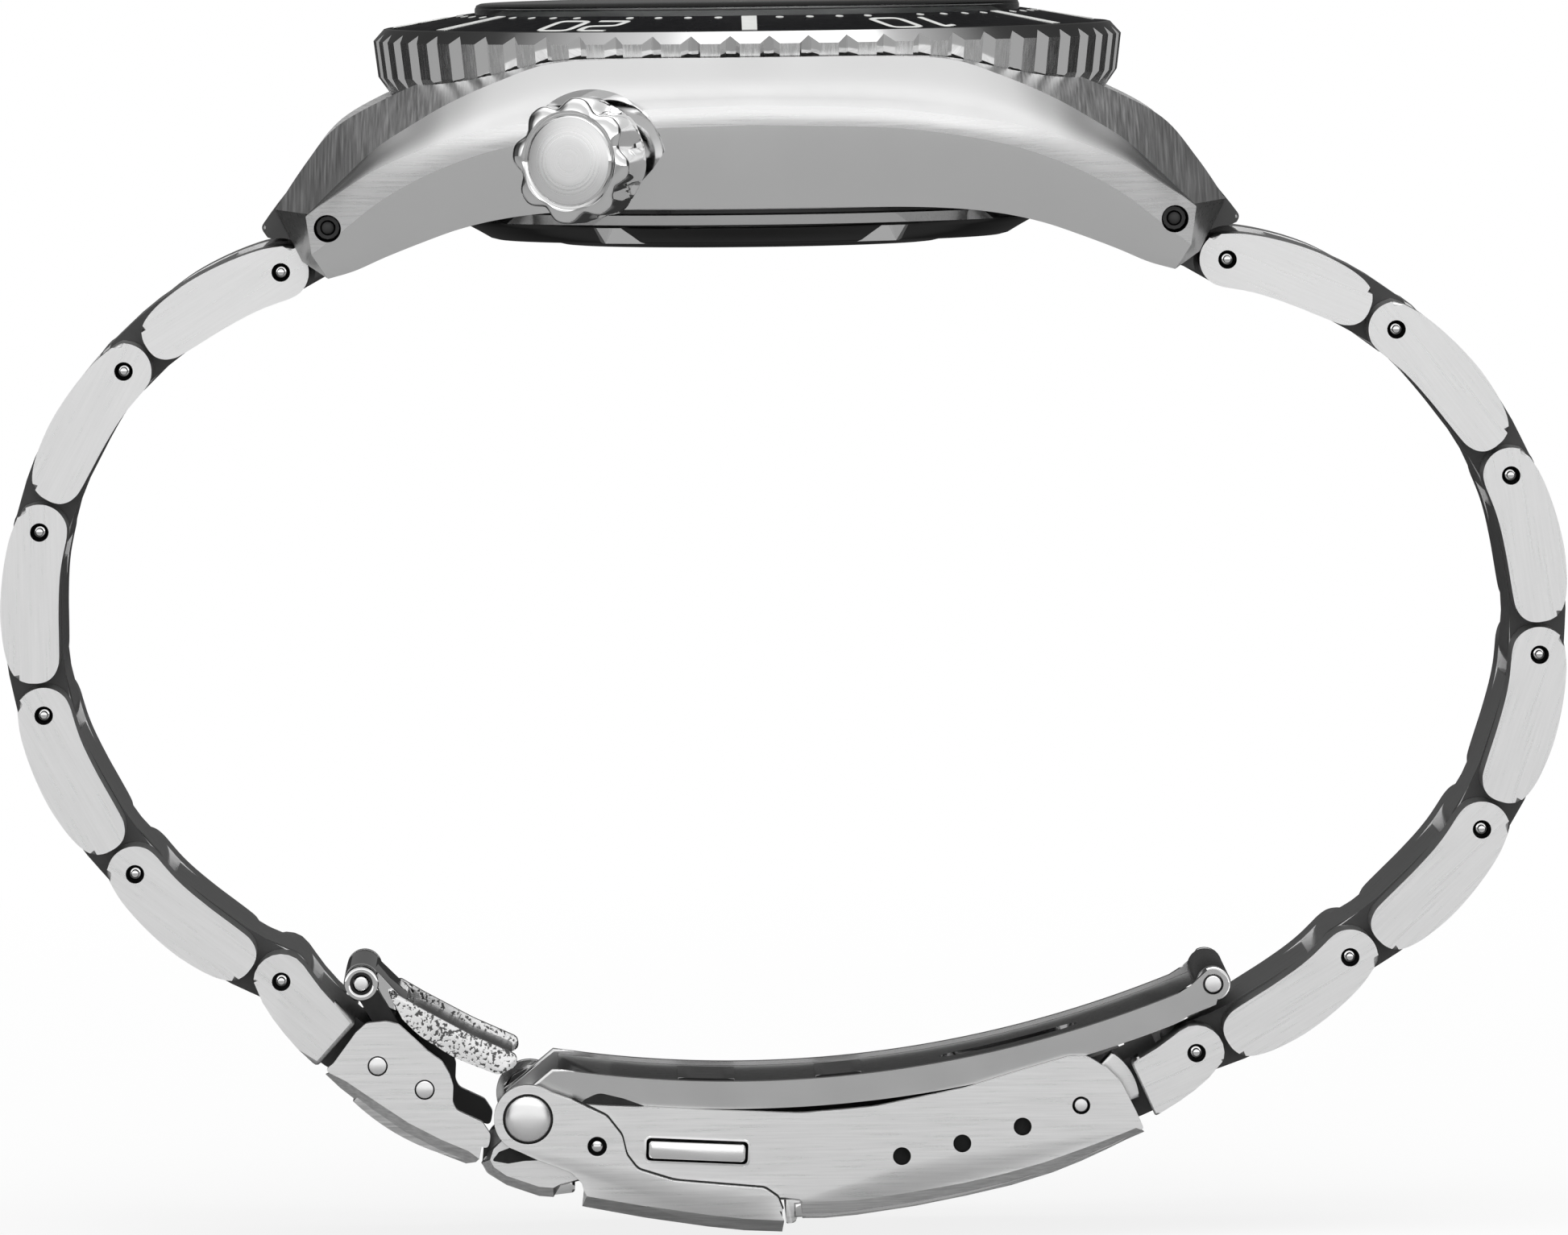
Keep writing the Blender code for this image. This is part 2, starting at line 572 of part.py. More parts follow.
def clasp_cover():
    half = COVER_HALF
    floor_radius = COVER_RADIUS - COVER_FLOOR - 0.5
    left_floor = strip(COVER_CENTRE, floor_radius, COVER_RADIUS, -15.3, LOCK_RECESS_START, 3)
    middle = strip(
        COVER_CENTRE, COVER_RADIUS - COVER_FLOOR - 0.9, COVER_RADIUS - LOCK_RECESS,
        LOCK_RECESS_START - 1, LOCK_RECESS_END + 1, 5,
    )
    right_floor = strip(COVER_CENTRE, floor_radius, COVER_RADIUS, LOCK_RECESS_END, 17.5, 6)
    made = prism("clasp_cover", middle, -half, half)
    floors = [prism_data(left_floor, -half, half), prism_data(right_floor, -half, half)]
    combine(made, shells("clasp_cover_floors", floors), "UNION")
    top = [
        (-14.6, -49.6), (-14.5, -48.6), (-13.9, -47.3), (-13.0, -46.85), (-12.0, -47.0),
        (-11.2, -47.6), (-2.9, -48.1), (2.3, -48.3), (6.25, -48.0), (8.5, -47.6),
        (11.5, -47.0), (14.5, -46.1), (17.3, -45.4), (18.2, -45.4),
        (19.3, -46.0), (20.1, -46.8), (20.9, -48.4), (21.4, -49.45),
    ]
    recess = COVER_RADIUS - LOCK_RECESS
    low = [on_arc(COVER_CENTRE, COVER_RADIUS, x) for x in (19.0, 16.0, 12.0, 8.0, 5.0, LOCK_RECESS_END)]
    low += [on_arc(COVER_CENTRE, recess, x) for x in (LOCK_RECESS_END, -2.0, -6.0, LOCK_RECESS_START)]
    low += [on_arc(COVER_CENTRE, COVER_RADIUS, x) for x in (LOCK_RECESS_START, -12.5, -15.3)]
    low += [on_arc(COVER_CENTRE, COVER_RADIUS - 1.2, -15.1)]
    walls = [prism_data([*top, *low], sign * (half - COVER_WALL), sign * half) for sign in (-1, 1)]
    combine(made, shells("clasp_cover_walls", walls), "UNION")
    holes = [prism_data(circle(hole, CLASP_BAR_RADIUS, 10), -THROUGH, THROUGH) for hole in ADJUST_HOLES]
    holes.append(prism_data(circle(PINS_12[-1], CLASP_BAR_RADIUS + 0.08), -THROUGH, THROUGH))
    holes.append(prism_data(circle(CLASP_PIVOT, PIN_RADIUS + 0.08), -THROUGH, THROUGH))
    holes.append(prism_data(button_outline(0.15), -THROUGH, THROUGH))
    combine(made, shells("clasp_cover_holes", holes), "DIFFERENCE")
    rod("clasp_spring_bar", PINS_12[-1], CLASP_BAR_RADIUS, half - 0.1)


def button_outline(margin):
    length, height = BUTTON_LENGTH / 2 + margin, BUTTON_HEIGHT / 2 + margin
    corners = ((-length, -height), (length, -height), (length, height), (-length, height))
    turn = (cos(BUTTON_TILT), sin(BUTTON_TILT))
    return [(BUTTON_X + x * turn[0] - z * turn[1], BUTTON_Z + x * turn[1] + z * turn[0]) for x, z in corners]


def push_buttons():
    for name, sign in (("push_button_near", -1), ("push_button_far", 1)):
        prism(name, button_outline(0), sign * 7.4, sign * 9.35, "polished_steel")


def safety_lock():
    """Outside the cover: two cheeks on the rivet, and a plate that lies in the cover's recess."""
    head = arc(CLASP_PIVOT, 1.9, 235, 60, 9)
    upper = [
        (-10.5, -47.3), (-8.5, -48.4), (-7.7, -49.5), (-7.4, -50.8), (-6.9, -51.3), (-6.0, -51.6),
        (-2.0, -52.2), (0.1, -52.4), (0.8, -52.8), (1.25, -54.05), (1.15, -54.85),
    ]
    lower = [
        (-3.0, -54.6), (-9.0, -53.45), (-10.0, -53.25), (-10.0, -52.0),
        (-10.6, -51.4), (-12.4, -50.7), (-13.7, -50.0),
    ]
    cheek = [*head, *upper, *lower]
    inner = LOCK_HALF - LOCK_WALL
    cheeks = [prism_data(cheek, sign * inner, sign * LOCK_HALF) for sign in (-1, 1)]
    plate = [(1.2, -54.15), (1.15, -54.85), (-3.0, -54.6), (-9.4, -53.38), (-9.4, -52.95), (-3.0, -53.75)]
    made = prism("safety_lock", plate, -LOCK_HALF + 0.1, LOCK_HALF - 0.1, "polished_steel")
    combine(made, shells("safety_lock_cheeks", cheeks), "UNION")
    combine(made, rod("safety_lock_bore", CLASP_PIVOT, PIN_RADIUS + 0.08, THROUGH), "DIFFERENCE")
    frame = Matrix.Translation((CLASP_PIVOT[0], 0, CLASP_PIVOT[1])) @ Matrix.Rotation(pi / 2, 4, "X")
    dome = LOCK_HALF + 0.1
    profile = (
        (0, -dome - 0.5), (0.8, -dome - 0.4), (1.2, -dome), (PIN_RADIUS, -dome),
        (PIN_RADIUS, dome), (1.2, dome), (0.8, dome + 0.4), (0, dome + 0.5),
    )
    turned("lock_rivet", profile, 12, "polished_steel", frame)


def blades():
    """The long blade is a channel on the rivet; the short blade is a plate hinged at its far end."""
    bottom = BLADE_RADIUS + FLANGE_HEIGHT
    web = strip(BLADE_CENTRE, bottom - SHEET, bottom, -9.5, 23.4, 9)
    long_blade = prism("blade_long", web, -BLADE_HALF, BLADE_HALF)
    flange = strip(BLADE_CENTRE, BLADE_RADIUS, bottom, -12.0, 24.4, 10)
    cheeks = []
    for sign in (-1, 1):
        inner, outer = sign * (BLADE_HALF - 0.75), sign * BLADE_HALF
        cheeks.append(prism_data(flange, inner, outer))
    combine(long_blade, shells("blade_flanges", cheeks), "UNION")
    left_ear = [*arc(CLASP_PIVOT, 1.5, 300, 150, 7), (-11.0, -46.4), (-10.0, -48.2)]
    right_ear = [*arc(BLADE_PIVOT, 1.0, 110, -80, 8), (23.6, -43.3), (23.6, -42.2)]
    ears = []
    for sign in (-1, 1):
        inner, outer = sign * (BLADE_HALF - 0.75), sign * BLADE_HALF
        ears.append(prism_data(left_ear, inner, outer))
        ears.append(prism_data(right_ear, inner, outer))
    combine(long_blade, shells("blade_ears", ears), "UNION")
    pivots = (CLASP_PIVOT, BLADE_PIVOT)
    holes = [prism_data(circle(centre, PIN_RADIUS + 0.08), -THROUGH, THROUGH) for centre in pivots]
    combine(long_blade, shells("blade_long_holes", holes), "DIFFERENCE")

    plate = strip(BLADE_CENTRE, BLADE_RADIUS + 0.2, BLADE_RADIUS + 0.2 + SHEET, -11.4, 24.6, 10)
    short_blade = prism("blade_short", plate, -SHORT_HALF, SHORT_HALF)
    barrel = rod("blade_short_barrel", BLADE_PIVOT, 1.0, SHORT_HALF, steps=16)
    combine(short_blade, barrel, "UNION")
    combine(short_blade, rod("blade_short_bore", BLADE_PIVOT, PIN_RADIUS + 0.08, THROUGH), "DIFFERENCE")
    rod("blade_pin", BLADE_PIVOT, PIN_RADIUS, BLADE_HALF - 0.05)


def extension():
    half = EXTENSION_HALF
    outer = arc((-13.8, -38.3), 12.75, 217, 259, 7)
    floor_start = arc((-13.8, -38.3), 12.75, 224, 259, 6) + arc((-13.8, -38.3), 11.85, 259, 224, 6)
    floor = prism("extension_end", floor_start, -half, half)
    cheek = [
        (-22.48, -43.5), (-21.9, -43.0), (-20.8, -42.9), (-20.1, -43.1), (-19.26, -43.75), (-18.5, -44.6),
        (-17.7, -45.2), (-17.2, -46.2), (-17.15, -47.45), (-16.15, -48.35), (-15.45, -48.75), (-15.35, -49.9),
    ]
    cheek += reversed(outer)
    inner = half - EXTENSION_WALL
    cheeks = [prism_data(cheek, sign * inner, sign * half) for sign in (-1, 1)]
    combine(floor, shells("extension_cheeks", cheeks), "UNION")
    pivots = (PINS_6[-1], EXTENSION_PIN)
    holes = [prism_data(circle(centre, PIN_BORE), -THROUGH, THROUGH) for centre in pivots]
    combine(floor, shells("extension_holes", holes), "DIFFERENCE")
    rod("pin_6_7", PINS_6[-1], PIN_RADIUS, half - 0.1)
    rod("extension_pin", EXTENSION_PIN, PIN_RADIUS, half - 0.1)
    rod("extension_curl_pin", CURL_PIN, CURL_PIN_RADIUS, 7.5)

    first = Segment(EXTENSION_PIN, CURL_PIN, 1)
    arm = [*arc((0, 0), 0.95, 270, 90, 6), *arc((first.length, 0), CURL_RADIUS - 0.05, 90, -90, 6)]
    slim = [(x, n * 0.45 if 0.6 < x < first.length - 0.6 else n) for x, n in arm]
    arms = [prism_data(first.world(slim), sign * 5.4, sign * 7.3) for sign in (-1, 1)]
    tie = [(0.64 * first.length + x, n) for x, n in ((-0.5, -0.35), (0.5, -0.35), (0.5, 0.35), (-0.5, 0.35))]
    plate_one = prism("extension_plate_1", first.world(tie), -7.0, 7.0, "polished_steel")
    combine(plate_one, shells("extension_plate_1_arms", arms), "UNION")
    bores = [
        prism_data(circle(centre, radius), -THROUGH, THROUGH)
        for centre, radius in ((EXTENSION_PIN, PIN_BORE), (CURL_PIN, CURL_BORE))
    ]
    combine(plate_one, shells("extension_plate_1_bores", bores), "DIFFERENCE")

    sheet = [
        (-20.1, -41.65), (-18.8, -42.4), (-16.1, -43.87), (-13.6, -45.0), (-13.5, -45.6),
        (-14.7, -46.1), (-17.0, -45.1), (-19.0, -43.85), (-19.8, -43.0),
    ]
    plate_two = prism("extension_plate_2", sheet, -7.0, 7.0, "polished_steel")
    curl = [*arc(CURL_PIN, CURL_RADIUS, 30, 300, 10), (-20.0, -42.9), (-19.6, -41.9)]
    combine(plate_two, prism("extension_curl", curl, -5.2, 5.2), "UNION")
    combine(plate_two, rod("extension_curl_bore", CURL_PIN, CURL_BORE, THROUGH), "DIFFERENCE")


def main():
    for old in list(bpy.data.objects):
        bpy.data.objects.remove(old, do_unlink=True)
    mid_case()
    case_back()
    bezel()
    crystal()
    crown()
    movement()
    hands()
    end_link("end_link_6", -1, PINS_6[0])
    end_link("end_link_12", 1, PINS_12[0])
    chain(-1, PINS_6, 2.65, 1.3)
    chain(1, PINS_12, 3.5, 1.2)
    clasp_cover()
    push_buttons()
    safety_lock()
    blades()
    extension()


main()
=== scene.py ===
"""The looks of the steel dive watch.

Finished pieces take the place of the plain CAD solids, and a studio stands round them.
Lengths are in millimetres until finish_mesh() turns them into metres.
"""

import json
from math import atan, cos, hypot, pi, radians, sin, sqrt, tau

import bmesh
import bpy
from mathutils import Matrix, Vector

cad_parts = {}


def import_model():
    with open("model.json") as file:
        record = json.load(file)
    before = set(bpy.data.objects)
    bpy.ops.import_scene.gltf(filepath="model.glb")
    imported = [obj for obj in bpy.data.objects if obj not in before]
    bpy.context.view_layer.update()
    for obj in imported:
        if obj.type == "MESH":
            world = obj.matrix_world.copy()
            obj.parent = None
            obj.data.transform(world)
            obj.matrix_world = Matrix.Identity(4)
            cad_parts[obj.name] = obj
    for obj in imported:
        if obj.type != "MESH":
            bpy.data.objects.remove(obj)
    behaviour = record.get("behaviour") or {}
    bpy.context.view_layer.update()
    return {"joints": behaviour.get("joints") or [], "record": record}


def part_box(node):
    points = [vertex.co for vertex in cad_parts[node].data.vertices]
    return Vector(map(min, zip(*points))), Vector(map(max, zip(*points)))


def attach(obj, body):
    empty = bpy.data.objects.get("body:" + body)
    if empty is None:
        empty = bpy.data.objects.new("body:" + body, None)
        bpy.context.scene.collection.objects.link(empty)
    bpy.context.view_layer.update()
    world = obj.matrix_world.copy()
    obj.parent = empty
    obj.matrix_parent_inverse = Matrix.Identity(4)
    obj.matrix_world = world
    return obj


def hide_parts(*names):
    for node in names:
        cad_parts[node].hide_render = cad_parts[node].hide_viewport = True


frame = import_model()
MM = 0.001
JOINTS = {joint["name"]: joint for joint in frame["joints"]}
BODY_OF = {node: body for body, nodes in frame["record"]["behaviour"]["bodies"].items() for node in nodes}


def pin_at(joint):
    """A hinge's place in the XZ plane, in millimetres."""
    x, _, z = JOINTS[joint]["pos_m"]
    return (x / MM, z / MM)


def box_mm(node):
    low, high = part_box(node)
    return Vector(low) / MM, Vector(high) / MM


# --- Materials --------------------------------------------------------------------------------


def shader_of(made):
    return made.node_tree.nodes["Principled BSDF"]


def new_material(name, colour, roughness, metallic=1.0, specular=0.5):
    made = bpy.data.materials.new(name)
    made.use_nodes = True
    shader = shader_of(made)
    shader.inputs["Base Color"].default_value = (*colour, 1)
    shader.inputs["Roughness"].default_value = roughness
    shader.inputs["Metallic"].default_value = metallic
    shader.inputs["Specular IOR Level"].default_value = specular
    return made


def add_node(tree, kind, **settings):
    """A new node with its own settings, such as operation, given by name."""
    node = tree.nodes.new(kind)
    for name, value in settings.items():
        setattr(node, name, value)
    return node


def map_range(tree, source, old_low, old_high, low, high):
    node = add_node(tree, "ShaderNodeMapRange")
    for socket, value in zip(("From Min", "From Max", "To Min", "To Max"), (old_low, old_high, low, high)):
        node.inputs[socket].default_value = value
    tree.links.new(source, node.inputs["Value"])
    return node.outputs["Result"]


def noise(made, scale, detail=2.0):
    """A noise texture on stretched object coordinates; scale is per metre along X, Y and Z."""
    tree = made.node_tree
    place = tree.nodes.new("ShaderNodeTexCoord")
    stretch = tree.nodes.new("ShaderNodeMapping")
    stretch.inputs["Scale"].default_value = scale
    texture = tree.nodes.new("ShaderNodeTexNoise")
    texture.inputs["Scale"].default_value = 1.0
    texture.inputs["Detail"].default_value = detail
    tree.links.new(place.outputs["Object"], stretch.inputs["Vector"])
    tree.links.new(stretch.outputs["Vector"], texture.inputs["Vector"])
    return texture.outputs["Fac"]


def ranged(made, source, low, high, socket):
    """Runs a 0-1 value from low to high into a socket of the shader."""
    tree = made.node_tree
    tree.links.new(map_range(tree, source, 0.25, 0.75, low, high), shader_of(made).inputs[socket])


def tinted(made, source, dark, light):
    """Varies the colour between two greys or colours."""
    tree = made.node_tree
    ramp = add_node(tree, "ShaderNodeValToRGB")
    for element, position, colour in zip(ramp.color_ramp.elements, (0.3, 0.7), (dark, light)):
        element.position = position
        element.color = (*colour, 1)
    tree.links.new(source, ramp.inputs["Fac"])
    tree.links.new(ramp.outputs["Color"], shader_of(made).inputs["Base Color"])


def bumped(made, source, strength, distance=0.00002):
    tree = made.node_tree
    bump = tree.nodes.new("ShaderNodeBump")
    bump.inputs["Strength"].default_value = strength
    bump.inputs["Distance"].default_value = distance
    tree.links.new(source, bump.inputs["Height"])
    tree.links.new(bump.outputs["Normal"], shader_of(made).inputs["Normal"])


GRAIN_FINE = 9000.0
GRAIN_LONG = 260.0


def brushed(name, grain, level=0.72, roughness=0.3, depth=0.35):
    """Steel with a brushed grain; grain names the axes along which it runs, such as 'X' or 'XY'."""
    made = new_material(name, (level, level, level), roughness)
    scale = tuple(GRAIN_LONG if axis in grain else GRAIN_FINE for axis in "XYZ")
    fine = noise(made, scale, 3.0)
    ranged(made, fine, roughness - 0.05, roughness + 0.07, "Roughness")
    tinted(made, fine, (level * (1 - depth),) * 3, (min(level * 1.03, 1),) * 3)
    bumped(made, fine, depth)
    return made


def polished(name, level=0.8, roughness=0.07):
    made = new_material(name, (level, level, level), roughness)
    smear = noise(made, (300.0, 300.0, 300.0), 4.0)
    ranged(made, smear, roughness * 0.9, roughness * 1.12, "Roughness")
    tinted(made, smear, (level * 0.985,) * 3, (level,) * 3)
    return made


def plain(name, colour, roughness, metallic=0.0, specular=0.5):
    """A non-metal or dark metal whose finish varies a little."""
    made = new_material(name, colour, roughness, metallic, specular)
    smear = noise(made, (1500.0, 1500.0, 1500.0), 4.0)
    ranged(made, smear, roughness * 0.85, roughness * 1.2, "Roughness")
    tinted(made, smear, tuple(c * 0.9 for c in colour), colour)
    return made


def circular_brushed(name):
    """Concentric grain about the Z axis of the piece's own coordinates."""
    made = new_material(name, (0.8, 0.8, 0.8), 0.26)
    tree = made.node_tree
    place = add_node(tree, "ShaderNodeTexCoord")
    flat = add_node(tree, "ShaderNodeVectorMath", operation="MULTIPLY")
    flat.inputs[1].default_value = (1, 1, 0)
    radius = add_node(tree, "ShaderNodeVectorMath", operation="LENGTH")
    texture = add_node(tree, "ShaderNodeTexNoise", noise_dimensions="1D")
    texture.inputs["Scale"].default_value = GRAIN_FINE
    texture.inputs["Detail"].default_value = 3.0
    tree.links.new(place.outputs["Object"], flat.inputs[0])
    tree.links.new(flat.outputs["Vector"], radius.inputs[0])
    tree.links.new(radius.outputs["Value"], texture.inputs["W"])
    ranged(made, texture.outputs["Fac"], 0.26, 0.36, "Roughness")
    tinted(made, texture.outputs["Fac"], (0.9,) * 3, (0.98,) * 3)
    bumped(made, texture.outputs["Fac"], 0.12)
    return made


def cast(name):
    """Bright metal with a coarse, pitted skin."""
    made = new_material(name, (0.8, 0.8, 0.8), 0.3)
    pits = map_range(made.node_tree, noise(made, (5200.0, 5200.0, 5200.0), 2.0), 0.36, 0.5, 0, 1)
    tinted(made, pits, (0.12,) * 3, (0.95,) * 3)
    bumped(made, pits, 0.5)
    return made


def glass():
    made = new_material("mineral_glass", (0.96, 0.98, 0.98), 0.02, 0.0)
    shader = shader_of(made)
    shader.inputs["Transmission Weight"].default_value = 1.0
    shader.inputs["IOR"].default_value = 1.5
    smear = noise(made, (200.0, 200.0, 200.0), 3.0)
    ranged(made, smear, 0.01, 0.04, "Roughness")
    return made


MATS = {
    "side": brushed("satin_side", "XY", 0.95, 0.3, 0.02),
    "flank": polished("satin_flank", 0.84, 0.24),
    "ridge": brushed("brushed_ridge", "XY", 0.98, 0.28, 0.08),
    "lug_end": brushed("brushed_lug_end", "Z", 0.55, 0.3, 0.2),
    "facet": brushed("brushed_facet", "YZ", 0.97, 0.36, 0.3),
    "cover": brushed("brushed_cover", "XY", 0.92, 0.3, 0.06),
    "outer": brushed("brushed_outer", "X", 0.62, 0.32, 0.3),
    "notch_land": brushed("brushed_land", "Z", 0.85, 0.25, 0.25),
    "chamfer": polished("polished_chamfer", 0.42, 0.14),
    "polished": polished("polished_steel"),
    "chrome": polished("bright_steel", 0.86, 0.04),
    "dark_steel": plain("dark_steel", (0.09, 0.09, 0.09), 0.35, 1.0),
    # gap: steel darkened as painted shade, for the link centres and the end links' sides and cut faces.
    "gap": plain("shaded_gap_steel", (0.1, 0.1, 0.1), 0.45, 1.0),
    # Shadow black: painted shade for holes, gaps, hollows and hidden inner parts.
    "black": plain("shadow_black", (0.004, 0.004, 0.004), 0.6),
    "insert": plain("gloss_black", (0.006, 0.006, 0.007), 0.3, 0.0, 0.04),
    "mark": plain("white_enamel", (0.85, 0.86, 0.84), 0.4),
    "dial": plain("dial_black", (0.012, 0.012, 0.014), 0.35, 0.0, 0.15),
    "lume": plain("pale_lume", (0.72, 0.8, 0.68), 0.55),
    "dome": polished("domed_steel", 0.97, 0.34),
    "brass": plain("movement_brass", (0.65, 0.55, 0.32), 0.3, 1.0),
    "disc": circular_brushed("circular_brushed"),
    "glass": glass(),
    # Near-black polished steel: the case back's dark reflection painted into its colour.
    "dark_reflection_chrome": polished("dark_reflection_chrome", 0.06, 0.08),
    # One brushed bevel steel at two levels: lighter on the cover and extension, darker on the lock as painted
    # shade.
    "edge_light": brushed("brushed_edge", "X", 0.8, 0.34, 0.25),
    "edge_dark": brushed("brushed_lock_edge_shade", "X", 0.5, 0.36, 0.3),
    "blade_edge": polished("polished_edge", 0.62, 0.2),
    # Dark brushed steel for the clasp's inner faces and pads: their shade painted into the colour.
    "blade_inner": brushed("brushed_blade_shaded", "X", 0.2, 0.3, 0.4),
    "blade_pad": brushed("brushed_pad_shaded", "X", 0.34, 0.3, 0.4),
    "cast": cast("cast_steel"),
    "button": polished("button_steel", 0.95, 0.16),
}


# --- Shapes -----------------------------------------------------------------------------------


def rounded(corners, steps=5):
    """A closed outline with each (x, z, radius) corner rounded."""
    outline = []
    count = len(corners)
    for index, (x, z, radius) in enumerate(corners):
        here = Vector((x, z))
        before = Vector(corners[index - 1][:2]) - here
        after = Vector(corners[(index + 1) % count][:2]) - here
        angle = before.angle(after, pi)
        if radius <= 0 or angle > radians(178):
            outline.append((x, z))
            continue
        slope = max(sin(angle / 2) / cos(angle / 2), 1e-3)
        reach = min(radius / slope, before.length * 0.49, after.length * 0.49)
        start = here + before.normalized() * reach
        stop = here + after.normalized() * reach
        for step in range(steps + 1):
            t = step / steps
            outline.append(tuple(start * (1 - t) ** 2 + here * 2 * t * (1 - t) + stop * t**2))
    return outline


def arc(centre, radius, start, end, steps):
    angles = [radians(start + (end - start) * step / steps) for step in range(steps + 1)]
    return [(centre[0] + radius * cos(angle), centre[1] + radius * sin(angle)) for angle in angles]


def circle(centre, radius, steps=32):
    return arc(centre, radius, 0, 360 - 360 / steps, steps - 1)


def oblong(half_width, half_height):
    return (
        (-half_width, -half_height),
        (half_width, -half_height),
        (half_width, half_height),
        (-half_width, half_height),
    )


def at(x, y, z):
    """A move to a place in the frame, given in millimetres."""
    return Matrix.Translation(Vector((x, y, z)) * MM)


def new_object(name, data):
    made = bpy.data.objects.new(name, data)
    bpy.context.scene.collection.objects.link(made)
    return made


def finish_mesh(name, shape, materials, sharp=35):
    """Turns a bmesh in millimetres into an object in metres, shaded smooth with sharp creases."""
    bmesh.ops.recalc_face_normals(shape, faces=shape.faces)
    mesh = bpy.data.meshes.new(name)
    shape.to_mesh(mesh)
    shape.free()
    mesh.transform(Matrix.Scale(MM, 4))
    for key in materials:
        mesh.materials.append(MATS[key])
    mesh.shade_smooth()
    mesh.set_sharp_from_angle(angle=radians(sharp))
    return new_object(name, mesh)


def painted(piece, index):
    """Gives every face of a piece the same one of its materials."""
    for face in piece.data.polygons:
        face.material_index = index
    return piece


def stack(shape, loops):
    """Joins loops of vertices into a closed solid, and returns its end faces and its side faces."""
    ends = [shape.faces.new(loops[0]), shape.faces.new(list(reversed(loops[-1])))]
    sides = []
    for low, high in zip(loops, loops[1:]):
        for index in range(len(low)):
            after = (index + 1) % len(low)
            sides.append(shape.faces.new((low[after], low[index], high[index], high[after])))
    return ends, sides


def prism_into(shape, outline, near, far, bevel=0.0, rim_material=0, segments=3):
    """Extrudes an XZ outline between two y values, with rounded rims at both ends."""
    loops = [[shape.verts.new((x, y, z)) for x, z in outline] for y in sorted((near, far))]
    ends, sides = stack(shape, loops)
    for side in sides:
        side.material_index = rim_material
    if bevel > 0:
        rims = {edge for end in ends for edge in end.edges}
        made = bmesh.ops.bevel(
            shape, geom=list(rims), offset=bevel, segments=segments, profile=0.5,
            affect="EDGES", clamp_overlap=True,
        )
        for face in made["faces"]:
            face.material_index = rim_material


def prism(name, outline, near, far, materials=("side",), bevel=0.0, rim_material=0):
    shape = bmesh.new()
    prism_into(shape, outline, near, far, bevel, rim_material)
    return finish_mesh(name, shape, materials)


def ring_at(shape, radius, height, steps):
    return [
        shape.verts.new((radius * cos(tau * step / steps), radius * sin(tau * step / steps), height))
        for step in range(steps)
    ]


def turned_into(shape, profile, steps, material_of=None):
    """Turns an open or closed (radius, height) profile about Z; radius 0 makes a pole."""
    rings = []
    for radius, height in profile:
        if radius == 0:
            rings.append([shape.verts.new((0, 0, height))] * steps)
        else:
            rings.append(ring_at(shape, radius, height, steps))
    for index, (low, high) in enumerate(zip(rings, rings[1:])):
        for step in range(steps):
            after = (step + 1) % steps
            corners = dict.fromkeys((low[step], low[after], high[after], high[step]))
            if len(corners) > 2:
                face = shape.faces.new(tuple(corners))
                face.material_index = material_of(index) if material_of else 0


def turned(name, profile, steps, materials=("polished",), material_of=None, sharp=35):
    shape = bmesh.new()
    turned_into(shape, profile, steps, material_of)
    return finish_mesh(name, shape, materials, sharp)


def apply_modifiers(piece):
    graph = bpy.context.evaluated_depsgraph_get()
    mesh = bpy.data.meshes.new_from_object(piece.evaluated_get(graph))
    old = piece.data
    piece.modifiers.clear()
    piece.data = mesh
    mesh.name = old.name
    return piece


SOLVER = "MANIFOLD"


def combine(piece, others, operation="DIFFERENCE", sharp=35):
    """Cuts or joins piece with the others, which are used up."""
    for other in others:
        change = piece.modifiers.new("combine", "BOOLEAN")
        change.operation = operation
        change.solver = SOLVER
        change.object = other
    apply_modifiers(piece)
    for other in others:
        bpy.data.objects.remove(other, do_unlink=True)
    piece.data.set_sharp_from_angle(angle=radians(sharp))
    return piece


def rod(name, centre, radius, near, far, materials=("polished",), bevel=0.0, steps=32):
    return prism(name, circle(centre, radius, steps), near, far, materials, bevel)


def seat(piece, body, *nodes, slot=None, place=None):
    """Puts the piece on its body, at its place there and instead of its CAD nodes."""
    if place is not None:
        piece.matrix_world = place
    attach(piece, body)
    if nodes:
        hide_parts(*nodes)
    return piece


def softened(piece, width=0.1, angle=28):
    """Rounds a piece's sharper edges a little so that they catch the light."""
    bevel = piece.modifiers.new("soft_edges", "BEVEL")
    bevel.width = width * MM
    bevel.segments = 2
    bevel.limit_method = "ANGLE"
    bevel.angle_limit = radians(angle)
    bevel.harden_normals = True
    return piece


def weighted(piece):
    piece.modifiers.new("even_shading", "WEIGHTED_NORMAL").keep_sharp = True
    return piece


# --- Case -------------------------------------------------------------------------------------

